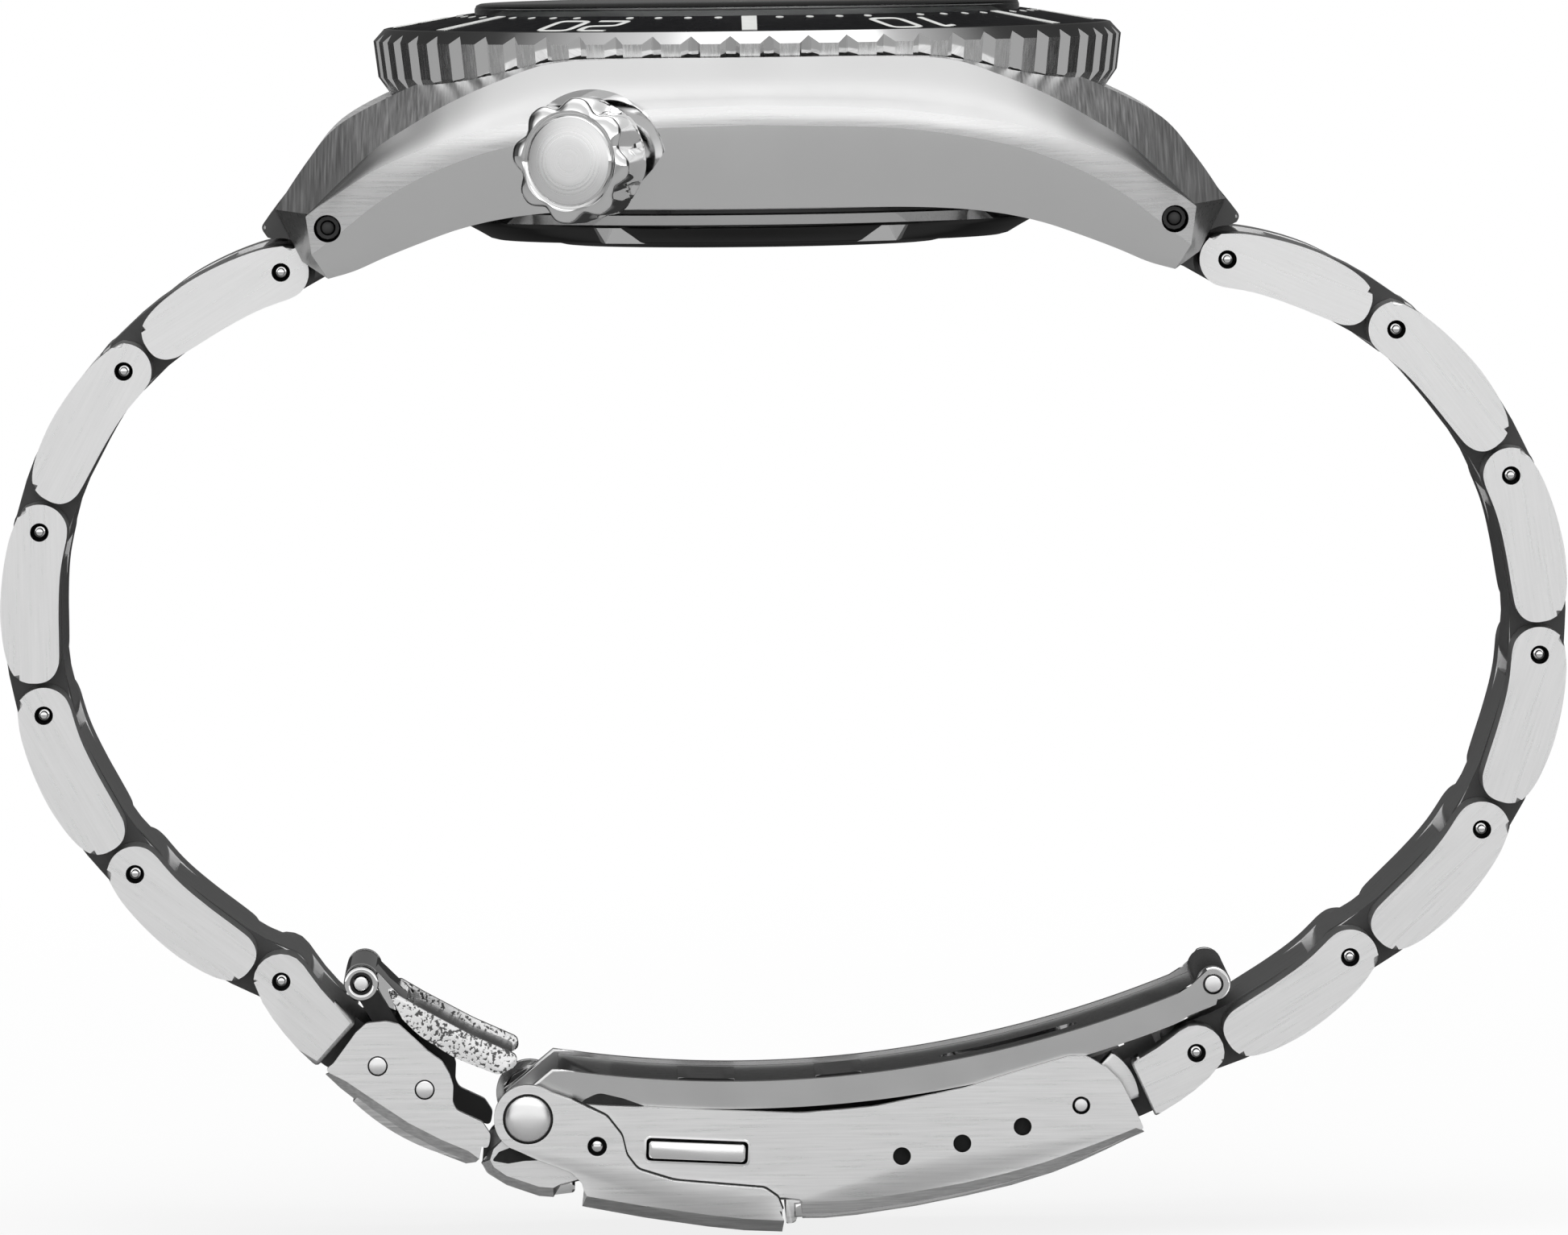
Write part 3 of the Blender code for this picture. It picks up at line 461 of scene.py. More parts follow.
LUG_INNER = 10.1
BODY_RADIUS, BODY_BOTTOM = 20.3, 2.4
BEZEL_SEAT, BEZEL_SEAT_RADIUS = 8.3, 21.05
TOP_ROW = (
    (0, 10.95), (7.0, 10.9), (11.0, 10.75), (14.2, 10.4), (17.0, 9.75), (19.8, 8.65), (22.9, 6.95),
    (24.8, 4.7),
    (26.35, 2.4),
)
EDGE_ROW = (
    (0, 21.6, 10.75), (7.0, 21.1, 10.72), (11.0, 20.35, 10.5), (14.0, 19.45, 9.5), (16.6, 18.4, 8.35),
    (18.7, 17.45, 7.15), (20.7, 16.5, 5.85), (22.6, 15.5, 4.1), (24.5, 14.5, 2.25),
)
RIDGE_TOP_ROW = (
    (0, 21.9, 8.15), (7.0, 21.4, 7.9), (11.0, 20.7, 7.45), (14.2, 19.75, 6.95), (16.6, 18.85, 6.35),
    (18.7, 17.9, 5.6), (20.7, 16.9, 4.7), (22.6, 15.85, 3.5), (24.6, 14.6, 2.1),
)
RIDGE_LOW_ROW = (
    (0, 21.92, 7.05), (7.0, 21.42, 6.85), (11.0, 20.72, 6.4), (14.2, 19.75, 5.75), (16.6, 18.8, 4.95),
    (18.7, 17.85, 4.0), (20.7, 16.8, 2.8), (22.6, 15.7, 1.3), (24.3, 14.6, 0.0),
)
LOW_ROW = (
    (0, 20.75, 2.45), (7.0, 20.2, 2.45), (11.0, 19.4, 2.3), (13.8, 18.5, 1.95), (16.1, 17.6, 1.4),
    (18.2, 16.7, 0.65), (20.2, 15.7, -0.15), (21.9, 14.95, -0.9), (23.4, 14.35, -1.35),
)
UNDER_ROW = (
    (0, 2.6), (7.0, 2.55), (11.0, 2.4), (14.2, 2.1), (16.8, 1.55), (19.2, 0.7), (21.6, -0.2), (23.4, -0.7),
    (24.9, -0.5),
)
CASE_MATERIALS = ("flank", "facet", "outer", "polished", "black", "ridge", "lug_end")


def catmull(points, parts):
    """A smooth curve through the given points, with this many parts between each two."""
    vectors = [Vector(point) for point in points]
    padded = [2 * vectors[0] - vectors[1], *vectors, 2 * vectors[-1] - vectors[-2]]
    curve = []
    for index in range(len(vectors) - 1):
        a, b, c, d = padded[index : index + 4]
        for part in range(parts):
            t = part / parts
            squared, cubed = 2 * a - 5 * b + 4 * c - d, 3 * b - a - 3 * c + d
            curve.append(0.5 * (2 * b + (c - a) * t + squared * t * t + cubed * t**3))
    curve.append(vectors[-1])
    return curve


def flank_sections(parts=8):
    """Sections of one side of the case: top facet, upper flank, ridge band, lower flank and underside."""
    top = catmull([(x, LUG_INNER, z) for x, z in TOP_ROW], parts)
    under = catmull([(x, LUG_INNER, z) for x, z in UNDER_ROW], parts)
    rows = [catmull(row, parts) for row in (EDGE_ROW, RIDGE_TOP_ROW, RIDGE_LOW_ROW, LOW_ROW)]
    half = []
    for index in range(len(top)):
        edge, ridge_top, ridge_low, low = (row[index] for row in rows)
        section = [top[index], edge]
        zones = ((edge, ridge_top, 6, 0.1), (ridge_top, ridge_low, 3, 0.03), (ridge_low, low, 6, 0.18))
        for first, second, count, bulge in zones:
            for step in range(1, count + 1):
                share = step / count
                section.append(first.lerp(second, share) + Vector((0, bulge * sin(pi * share), 0)))
        half.append([*section, under[index]])
    left = [[Vector((-p.x, p.y, p.z)) for p in section] for section in reversed(half[1:])]
    return left + half


# Material numbers down a section: facet, upper flank, ridge band, lower flank, underside.
FLANK_ZONES = (1, *[0] * 6, *[5] * 3, *[0] * 6, 2, 2)
LUG_END_ZONE = 6


def flank(name, side):
    sections = flank_sections()
    shape = bmesh.new()
    loops = [[shape.verts.new((p.x, side * p.y, p.z)) for p in section] for section in sections]
    ends, sides = stack(shape, loops)
    for end in ends:
        end.material_index = LUG_END_ZONE
    for number, face in enumerate(sides):
        face.material_index = FLANK_ZONES[number % len(sections[0])]
    return finish_mesh(name, shape, CASE_MATERIALS, 20)


def crown_frame():
    """The crown's own axes: Z runs outwards along its axis. X of the frame is level."""
    axis = Vector(JOINTS["crown_turn"]["axis"])
    centre = Vector(JOINTS["crown_turn"]["pos_m"])
    return Matrix.Translation(centre) @ axis.to_track_quat("Z", "Y").to_matrix().to_4x4()


def ring_solid(name, profile, steps, materials=CASE_MATERIALS, index=2):
    """A closed profile turned about Z, as a solid ring."""
    shape = bmesh.new()
    turned_into(shape, [*profile, profile[0]], steps, lambda row: index)
    bmesh.ops.remove_doubles(shape, verts=shape.verts, dist=1e-5)
    return finish_mesh(name, shape, materials)


def disc_solid(name, radius, low, high, steps=128, materials=CASE_MATERIALS, index=2):
    shape = bmesh.new()
    turned_into(shape, ((0, low), (radius, low), (radius, high), (0, high)), steps, lambda row: index)
    return finish_mesh(name, shape, materials)


CASE_PROFILE = (
    (BODY_RADIUS, BODY_BOTTOM), (BODY_RADIUS, BEZEL_SEAT), (16.4, BEZEL_SEAT), (16.4, 12.2),
    (15.35, 12.2), (15.35, 8.2), (15.1, 8.2), (15.1, BODY_BOTTOM),
)
LUG_HOLE, LUG_HOLE_RADIUS = (23.4, 1.45), 0.76


def mid_case():
    body = ring_solid("case_body", CASE_PROFILE, 160)
    flanks = []
    for name, side in (("flank_near", -1), ("flank_far", 1)):
        hollow = disc_solid("seat_cut", BEZEL_SEAT_RADIUS, BEZEL_SEAT - 0.06, 20, 160)
        core = disc_solid("core_cut", 17.5, -5, 20)
        flanks.append(combine(flank(name, side), [hollow, core], sharp=20))
    combine(body, flanks, "UNION", sharp=20)
    recess = disc_solid("recess_cut", 3.85, 21.6, 30, 96, index=3)
    bore = disc_solid("bore_cut", 0.8, 10, 30, 32, index=4)
    for cutter in (recess, bore):
        cutter.matrix_world = crown_frame()
    # The crown bore and the lug holes have shadow-black walls: painted shade.
    x, z = LUG_HOLE
    holes = [
        painted(prism("lug_cut", circle((side * x, z), LUG_HOLE_RADIUS), -20, 20, CASE_MATERIALS), 4)
        for side in (-1, 1)
    ]
    combine(body, [recess, bore, *holes], sharp=20)
    body.name = "mid_case_finish"
    seat(body, "watch_head", "mid_case", slot="brushed_steel")
    for side in (-1, 1):
        for sign in (-1, 1):
            name = f"lug_bar_tip_{side}_{sign}"
            tip = rod(name, (side * x, z), 0.42, sign * 12.5, sign * 13.6, ("dark_steel",), 0.1)
            seat(tip, "watch_head")


# --- Bezel, crystal and dial ------------------------------------------------------------------

NOTCHES = 60
NOTCH_LEAN = 0.125
INSERT_OUTER, INSERT_INNER = (20.08, 12.15), (15.5, 12.95)
INSERT_SLOPE = atan((INSERT_INNER[1] - INSERT_OUTER[1]) / (INSERT_OUTER[0] - INSERT_INNER[0]))
BEZEL_MATERIALS = ("chamfer", "notch_land", "dark_steel", "polished")


BEZEL_PROFILE = (
    (19.9, 8.4), (20.68, 9.5), (20.93, 11.5), (20.34, 12.16), (20.18, 12.2),
    (20.12, 12.1), (20.12, 11.5), (16.5, 12.1), (16.5, 8.4),
)
# Material numbers of the bezel's outer rows: the land, then the chamfer; the rest is dark steel.
BEZEL_ZONES = {0: 1, 1: 1, 2: 0, 3: 0}
NOTCH = ((20.5, 0.0), (20.93, -0.55), (22.4, -0.6), (22.4, 0.6), (20.93, 0.55))
NOTCH_LOW, NOTCH_MIDDLE, NOTCH_HIGH = 7, 11.5, 13


def bezel_ring():
    shape = bmesh.new()
    turned_into(shape, [*BEZEL_PROFILE, BEZEL_PROFILE[0]], 360, lambda row: BEZEL_ZONES.get(row, 2))
    bmesh.ops.remove_doubles(shape, verts=shape.verts, dist=1e-5)
    ring = finish_mesh("bezel_ring_finish", shape, BEZEL_MATERIALS, 25)
    cuts = bmesh.new()
    for step in range(NOTCHES):
        turn = Matrix.Rotation(tau * (step + 0.5) / NOTCHES, 4, "Z")
        loops = [
            [cuts.verts.new(turn @ Vector((x + NOTCH_LEAN * (z - NOTCH_MIDDLE), y, z))) for x, y in NOTCH]
            for z in (NOTCH_LOW, NOTCH_HIGH)
        ]
        stack(cuts, loops)
    combine(ring, [painted(finish_mesh("notch_cuts", cuts, BEZEL_MATERIALS), 3)], sharp=18)
    seat(ring, "bezel", "bezel_ring", slot="polished_steel")


def on_insert(radius, angle, lift=0.0):
    """Frame on the insert's sloping face: X clockwise, Y outwards, Z off the face."""
    share = (radius - INSERT_INNER[0]) / (INSERT_OUTER[0] - INSERT_INNER[0])
    height = INSERT_INNER[1] + (INSERT_OUTER[1] - INSERT_INNER[1]) * share
    across = Vector((sin(angle), -cos(angle), 0))
    outwards = Vector((cos(angle) * cos(INSERT_SLOPE), sin(angle) * cos(INSERT_SLOPE), -sin(INSERT_SLOPE)))
    normal = across.cross(outwards)
    place = Vector((radius * cos(angle), radius * sin(angle), height)) + normal * lift
    turn = Matrix((across, outwards, normal)).transposed().to_4x4()
    return Matrix.Translation(place * MM) @ turn


def slab(name, corners, thickness, material):
    """A thin raised mark from a flat outline in its own XY plane."""
    shape = bmesh.new()
    stack(shape, [[shape.verts.new((x, y, z)) for x, y in corners] for z in (-thickness, thickness)])
    return finish_mesh(name, shape, (material,))


# Each digit is a list of strokes on a grid 2 wide and 3 high.
DIGITS = {
    "0": ([(0, 0, 0.6), (2, 0, 0.6), (2, 3, 0.6), (0, 3, 0.6), (0, 0, 0.6)],),
    "1": ([(0.3, 2.6, 0.2), (1.1, 3, 0.2), (1.1, 0, 0)],),
    "2": ([(0, 3, 0), (1.9, 3, 0.6), (2, 1.6, 0.5), (0.1, 1.4, 0.5), (0, 0, 0.3), (2, 0, 0)],),
    "3": (
        [(0, 3, 0), (2, 3, 0.6), (2, 1.55, 0.4), (0.6, 1.55, 0)],
        [(1.2, 1.55, 0), (2, 1.5, 0.4), (2, 0, 0.6), (0, 0, 0)],
    ),
    "4": ([(1.5, 0, 0), (1.5, 3, 0.3), (0, 0.8, 0.2), (2.1, 0.8, 0)],),
    "5": ([(1.9, 3, 0), (0.1, 3, 0.2), (0, 1.7, 0.2), (2, 1.8, 0.6), (2, 0, 0.6), (0, 0, 0)],),
    "7": ([(0, 3, 0), (2, 3, 0.2), (0.8, 0, 0)],),
}
DIGIT_STEP = 2.75
STROKE_FLATTENS = 0.12


def open_rounded(points):
    """A stroke with its inner corners rounded; each point is (x, y, radius)."""
    if len(points) == 2:
        return [point[:2] for point in points]
    if points[0][:2] == points[-1][:2]:
        loop = rounded(points[:-1], 5)
        return [*loop, loop[0]]
    line = [points[0][:2]]
    for before, here, after in zip(points, points[1:], points[2:]):
        line += rounded((before[:2] + (0,), here, after[:2] + (0,)), 5)[1:-1]
    return [*line, points[-1][:2]]


def numeral(text, height, material, name, weight=0.18):
    """Raised digits drawn with flat strokes and centred on their own origin."""
    curve = bpy.data.curves.new(name, "CURVE")
    curve.dimensions = "3D"
    scale = height / 3
    curve.bevel_depth = weight * height * MM / 2.2
    curve.bevel_resolution = 1
    width = DIGIT_STEP * (len(text) - 1) + 2
    for index, digit in enumerate(text):
        for stroke in DIGITS[digit]:
            points = open_rounded(stroke)
            spline = curve.splines.new("POLY")
            spline.points.add(len(points) - 1)
            for place, (x, y) in zip(spline.points, points):
                across = (x + index * DIGIT_STEP - width / 2) * scale * MM
                place.co = (across, (y - 1.5) * scale * MM, 0, 1)
    helper = new_object(name + "_curve", curve)
    graph = bpy.context.evaluated_depsgraph_get()
    mesh = bpy.data.meshes.new_from_object(helper.evaluated_get(graph))
    bpy.data.objects.remove(helper, do_unlink=True)
    mesh.transform(Matrix.Diagonal((1, 1, STROKE_FLATTENS, 1)))
    mesh.materials.clear()
    mesh.materials.append(MATS[material])
    return new_object(name, mesh)


INSERT_PROFILE = ((20.08, 11.68), (20.08, 12.1), (20.03, 12.16), (15.56, 12.95), (15.5, 12.9), (15.5, 12.38))
MARK_LIFT = 0.02


def insert_mark(minute):
    """The raised mark of one minute and the radius of its centre."""
    if minute == 0:
        return slab("bezel_triangle", ((-1.5, 1.5), (0, -1.6), (1.5, 1.5)), MARK_LIFT, "mark"), 17.9
    if minute % 10 == 0:
        return numeral(str(minute), 2.7, "mark", f"bezel_number_{minute}"), 18.3
    if minute % 5 == 0:
        return slab(f"bezel_bar_{minute}", oblong(0.42, 2.0), MARK_LIFT, "mark"), 17.75
    return slab(f"bezel_dot_{minute}", circle((0, 0), 0.22, 12), MARK_LIFT, "mark"), 16.15


def bezel_insert():
    insert = ring_solid("bezel_insert_finish", INSERT_PROFILE, 240, ("insert",), 0)
    seat(insert, "bezel", "bezel_insert", slot="black_ceramic")
    for minute in range(60):
        mark, radius = insert_mark(minute)
        seat(mark, "bezel", place=on_insert(radius, -radians(6 * minute), MARK_LIFT))


def crystal():
    low, high = box_mm("crystal")
    radius = high.x
    edge = 0.3
    profile = (
        (0, low.z), (radius - 0.1, low.z), (radius, low.z + 0.1), (radius, high.z - edge),
        (radius - edge * 0.3, high.z - edge * 0.3), (radius - edge, high.z), (0, high.z),
    )
    made = turned("crystal_finish", profile, 160, ("glass",), sharp=25)
    seat(made, "watch_head", "crystal", slot="mineral_glass")


DATE_HOUR, DATE_RADIUS = 3, 10.6
HOUR_RADIUS, MINUTE_RADIUS = 10.4, 12.9
CHAPTER_PROFILE = ((15.2, 8.35), (15.2, 11.15), (14.9, 11.15), (13.7, 8.35), (15.2, 8.35))


def date_window(top):
    window = slab("date_window", oblong(1.2, 0.9), 0.03, "mark")
    seat(window, "watch_head", place=at(0, -DATE_RADIUS, top + 0.05))
    number = numeral("7", 1.2, "dial", "date_number")
    seat(number, "watch_head", place=at(0, -DATE_RADIUS, top + 0.1) @ Matrix.Rotation(-pi / 2, 4, "Z"))


def hour_mark(hour, top):
    if hour == 0:
        corners = ((-1.5, 1.3), (1.5, 1.3), (0, -1.5))
    elif hour % 3 == 0:
        corners = oblong(0.7, 1.6)
    else:
        corners = circle((0, 0), 0.95, 32)
    place = Matrix.Rotation(-radians(30 * hour) - pi / 2, 4, "Z") @ at(0, HOUR_RADIUS, top)
    rim = slab(f"hour_frame_{hour}", [(x * 1.18, y * 1.13) for x, y in corners], 0.16, "polished")
    plot = slab(f"hour_plot_{hour}", corners, 0.2, "lume")
    for piece in (rim, plot):
        seat(piece, "watch_head", place=place)


def dial_side():
    """The dial with its applied marks, the minute track, the date window and the sloping chapter ring."""
    low, high = box_mm("dial")
    top = high.z
    profile = ((1.0, low.z), (high.x, low.z), (high.x, top), (1.0, top), (1.0, low.z))
    seat(turned("dial_finish", profile, 128, ("dial",)), "watch_head", "dial", slot="dial_black")
    for hour in range(12):
        if hour == DATE_HOUR:
            date_window(top)
        else:
            hour_mark(hour, top)
    for minute in range(60):
        half = 0.45 if minute % 5 == 0 else 0.25
        mark = slab(f"minute_mark_{minute}", oblong(0.08, half), 0.02, "mark")
        turn = Matrix.Rotation(-radians(6 * minute), 4, "Z")
        seat(mark, "watch_head", place=turn @ at(0, MINUTE_RADIUS, top))
    ring = turned("chapter_ring_finish", CHAPTER_PROFILE, 160, ("dial",))
    seat(ring, "watch_head", "chapter_ring", slot="dial_black")


HAND_SLOT = 0.32


def hand(node, outline, height, boss, lume_outline):
    """A faceted hand pointing along +Y of its own frame, then turned to +X; its body has its name."""
    shape = bmesh.new()
    ridge = height + 0.22
    rows = ((1, height), (1, height + 0.1), (0.25, ridge - 0.04))
    stack(shape, [[shape.verts.new((x * share, y, z)) for x, y in outline] for share, z in rows])
    tube = ((HAND_SLOT, height), (boss, height), (boss, ridge), (HAND_SLOT, ridge), (HAND_SLOT, height))
    turned_into(shape, tube, 40)
    made = finish_mesh(node + "_finish", shape, ("polished",))
    quarter = Matrix.Rotation(-pi / 2, 4, "Z")
    seat(made, node, node, slot="polished_steel", place=quarter)
    seat(slab(node + "_lume", lume_outline, 0.03, "lume"), node, place=quarter @ at(0, 0, ridge))


def hands():
    hand(
        "hour_hand", ((-0.45, -1.4), (0.45, -1.4), (0.75, 5.4), (0, 7.4), (-0.75, 5.4)), 8.55, 0.85,
        ((-0.3, 1.6), (0.3, 1.6), (0.42, 5.2), (0, 6.4), (-0.42, 5.2)),
    )
    hand(
        "minute_hand", ((-0.4, -2.2), (0.4, -2.2), (0.65, 9.4), (0, 11.8), (-0.65, 9.4)), 9.0, 0.75,
        ((-0.26, 2.2), (0.26, 2.2), (0.36, 9.2), (0, 10.7), (-0.36, 9.2)),
    )
    hand(
        "seconds_hand", ((-0.22, -2.5), (0.22, -2.5), (0.09, 12.6), (-0.09, 12.6)), 9.45, 0.6,
        circle((0, 9.4), 0.45, 24),
    )


# --- Crown and case back ----------------------------------------------------------------------

LOBES = 8


LOBE_PHASE = radians(8)
CROWN_RADIUS, CROWN_BASE, CROWN_STEPS = 3.48, 23.1, 192
# Rows of the grip: height above the base, depth of the scallops and share of the radius.
CROWN_GRIP = (
    (-0.2, 0.0, 0.9), (-0.12, 0.0, 0.93), (0.1, 0.3, 0.97), (0.35, 1.0, 1.0), (1.5, 1.0, 1.0),
    (2.66, 1.0, 1.0),
    (2.84, 1.0, 0.99), (2.96, 0.95, 0.965), (3.04, 0.85, 0.92), (3.09, 0.6, 0.86), (3.1, 0.3, 0.8),
)
CROWN_TUBE = ((1.0, 21.4), (2.1, 21.4), (2.1, 22.8), (1.9, 23.0), (1.0, 23.0))
# Rings of the rim and its groove, from the grip to the disc: radius and height above the base.
CROWN_RIM = ((2.76, 3.1), (2.68, 3.07), (2.62, 2.98), (2.5, 2.96), (2.44, 3.03), (2.36, 3.06))


def grip_ring(shape, height, depth, scale):
    ring = []
    for step in range(CROWN_STEPS):
        angle = tau * step / CROWN_STEPS
        wave = 0.5 - 0.5 * cos(LOBES * (angle + LOBE_PHASE))
        reach = CROWN_RADIUS * scale - 0.5 * depth * wave**1.6
        ring.append(shape.verts.new((reach * cos(angle), reach * sin(angle), CROWN_BASE + height)))
    return ring


def crown():
    """A scalloped, polished grip round a domed disc with turned grain."""
    shape = bmesh.new()
    rings = [grip_ring(shape, *row) for row in CROWN_GRIP]
    rings += [ring_at(shape, radius, CROWN_BASE + height, CROWN_STEPS) for radius, height in CROWN_RIM]
    ends, _ = stack(shape, rings)
    shape.faces.remove(ends[1])
    centre = shape.verts.new((0, 0, CROWN_BASE + 3.1))
    middle = ring_at(shape, 1.1, CROWN_BASE + 3.09, CROWN_STEPS)
    for step in range(CROWN_STEPS):
        after = (step + 1) % CROWN_STEPS
        shape.faces.new((rings[-1][step], rings[-1][after], middle[after], middle[step])).material_index = 1
        shape.faces.new((middle[step], middle[after], centre)).material_index = 1
    made = finish_mesh("crown_finish", shape, ("chrome", "disc"), 40)
    seat(made, "crown", "crown", slot="polished_steel", place=crown_frame())
    seat(turned("crown_tube", CROWN_TUBE, 48, ("dark_steel",)), "watch_head", place=crown_frame())


CASE_BACK_PROFILE = (
    (0, 0), (10.0, 0), (10.35, 0.03), (10.9, 0.16), (11.2, 0.24), (14.1, 0.34), (14.5, 0.44), (15.2, 0.85),
    (15.75, 1.15), (16.0, 1.3), (16.1, 1.42), (16.1, 1.95), (16.0, 2.05), (16.0, 2.3), (15.0, 2.3),
    (15.0, 3.3),
    (14.2, 3.3), (14.2, 1.2), (0, 1.2),
)
CASE_BACK_MATERIALS = ("dark_reflection_chrome", "dark_steel", "chrome")
# The rows of the profile that aren't the near-black chrome of the painted dark reflection: a groove and the
# outer rim.
CASE_BACK_ZONES = {4: 1, 10: 2}
WRENCH_SLOTS = 6
WRENCH_SECTION = ((-1.6, -0.2), (1.6, -0.2), (0.85, 1.25), (-0.85, 1.25))


def wrench_cut(step):
    """The cutter of one sloping wrench slot."""
    cut = bmesh.new()
    low = [cut.verts.new((x, 13.7 + 0.35 * z, z)) for x, z in WRENCH_SECTION]
    high = [cut.verts.new((x * 1.02, 18.0, z)) for x, z in WRENCH_SECTION]
    stack(cut, [low, high])
    cutter = painted(finish_mesh(f"wrench_cut_{step}", cut, CASE_BACK_MATERIALS), 2)
    cutter.matrix_world = Matrix.Rotation(tau * step / WRENCH_SLOTS + radians(30) + pi, 4, "Z")
    return cutter


def case_back():
    shape = bmesh.new()
    turned_into(shape, CASE_BACK_PROFILE, 200, lambda row: CASE_BACK_ZONES.get(row, 0))
    back = finish_mesh("case_back_finish", shape, CASE_BACK_MATERIALS, 25)
    combine(back, [wrench_cut(step) for step in range(WRENCH_SLOTS)], sharp=25)
    seat(back, "watch_head", "case_back", slot="polished_steel")


# --- Bracelet ---------------------------------------------------------------------------------

CENTRE_HALF = 5.0
HOLE_RADIUS = 0.52


class Segment:
    """A link's own frame: X runs from its head pin to its tail pin and Z out of the loop."""

    def __init__(self, head, tail, side):
        self.length = hypot(tail[0] - head[0], tail[1] - head[1])
        along = Vector(((tail[0] - head[0]) / self.length, 0, (tail[1] - head[1]) / self.length))
        out = Vector((-side * along.z, 0, side * along.x))
        turn = Matrix((along, out.cross(along), out)).transposed().to_4x4()
        self.matrix = Matrix.Translation(Vector((head[0], 0, head[1])) * MM) @ turn


# Side profile of a full link's outer bar: distance from the head pin, height above the pin line.
FULL_BAR = 8.3
BAR_CREST = ((0, 1.56), (1, 1.85), (2, 2.05), (3.2, 2.21), (4.5, 2.28), (5.7, 2.21), (6.7, 2.06), (7.5, 1.8))
BAR_TAIL = (
    (8.0, 1.45), (8.25, 0.95), (8.3, 0.5), (8.28, 0.1), (8.15, -0.3), (7.85, -0.64), (7.45, -0.84),
    (7.0, -0.93),
)
BAR_BELLY = ((5.8, -0.95), (4.5, -0.96), (3, -1.03), (1.9, -1.16), (1.0, -1.35), (0.35, -1.5))
# The centre piece, as (share of the length, height above the pin line).
CENTRE_CREST = ((0.0, 2.0), (0.12, 2.12), (0.3, 2.24), (0.45, 2.24), (0.6, 2.18), (0.75, 2.02), (0.88, 1.8))
CENTRE_BELLY = ((0.75, -1.15), (0.6, -1.02), (0.3, -1.0), (0.12, -1.03), (0.0, -1.1))
BAR_HEAD_RADIUS, SHORT_BAR = 1.55, 7.3
ROOT_RADIUS = 3.3
# How far a bar ends before the next pin.
BAR_GAP = 1.8
# The end links' sides and cut faces take gap steel, darkened as painted shade.
END_MATERIALS = ("gap", "outer", "polished")


def smooth_loop(points, parts=3):
    """A closed smooth curve through flat points."""
    padded = [Vector(point) for point in (*points[-1:], *points, *points[:2])]
    loop = []
    for a, b, c, d in zip(padded, padded[1:], padded[2:], padded[3:]):
        for part in range(parts):
            t = part / parts
            place = 2 * b + (c - a) * t + (2 * a - 5 * b + 4 * c - d) * t * t + (3 * b - a - 3 * c + d) * t**3
            loop.append(tuple(place * 0.5))
    return loop


def bar_outline(end):
    """A full bar is scaled to its length; a short one is a full bar cut off square."""
    head = arc((0, 0), BAR_HEAD_RADIUS, 262, 140, 7)
    if end > SHORT_BAR:
        scale = end / FULL_BAR
        return smooth_loop([*head, *[(x * scale, n) for x, n in (*BAR_CREST, *BAR_TAIL, *BAR_BELLY)]])
    crest = [point for point in BAR_CREST if point[0] < end - 0.3]
    belly = [point for point in BAR_BELLY if point[0] < end - 0.3]
    return rounded(
        [*[(x, n, 0.3) for x, n in (*head, *crest)], (end, crest[-1][1] + 0.05, 0.3), (end, belly[0][1], 0.3),
         *[(x, n, 0.3) for x, n in belly]], 3,
    )


def tapered(piece, widths, length):
    """Moves a bar's outer rim so that the bracelet narrows evenly along its length."""
    for vertex in piece.data.vertices:
        share = min(max(vertex.co.x / MM / length, 0), 1)
        target = widths[0] + (widths[1] - widths[0]) * share
        if abs(vertex.co.y) / MM > CENTRE_HALF + 1:
            vertex.co.y *= target / widths[0]


def sides_pair(name, outline, near, far, materials, bevel=0.0, rim_material=0, sharp=35):
    """One object with the same plate at each side of the middle."""
    shape = bmesh.new()
    for sign in (-1, 1):
        prism_into(shape, outline, sign * near, sign * far, bevel, rim_material)
    return finish_mesh(name, shape, materials, sharp)


def link_root():
    """Fills the cover's open end round the spring bar, where the clasp's last link goes in."""
    pin = pin_at("hinge_12_8")
    outline = [*arc(pin, ROOT_RADIUS, 5, 58, 14), *arc(pin, 0.9, 90, -60, 6)]
    seat(sides_pair("cover_knuckle", outline, 5.2, 7.0, ("side",), 0.12), "clasp_cover")


BAR_MATERIALS = ("side", "outer", "black")
CENTRE_START = 1.9


def link_bars(name, segment, widths, end_gap):
    outline = bar_outline(segment.length - end_gap)
    bars = sides_pair(name + "_bars", outline, CENTRE_HALF + 0.1, widths[0], BAR_MATERIALS, 0.24, 1, 40)
    tapered(bars, widths, segment.length)
    # The holes' walls are shadow black: painted shade.
    hole = circle((0, 0), HOLE_RADIUS, 24)
    holes = [
        painted(prism(name + "_hole", hole, sign * 8.0, sign * 12.0, BAR_MATERIALS), 2)
        for sign in (-1, 1)
    ]
    return weighted(combine(bars, holes, sharp=40))


def link_centre(name, length, tail_radius):
    crest, belly = (
        [(CENTRE_START + share * (length - CENTRE_START), n) for share, n in row]
        for row in (CENTRE_CREST, CENTRE_BELLY)
    )
    corners = [*crest, *arc((length, 0), tail_radius, 92, -98, 18), *belly]
    # The centre piece's sides are gap steel, darkened as painted shade in the recess between the bars.
    return weighted(prism(name + "_centre", corners, -CENTRE_HALF, CENTRE_HALF, ("gap", "outer"), 0.18, 1))


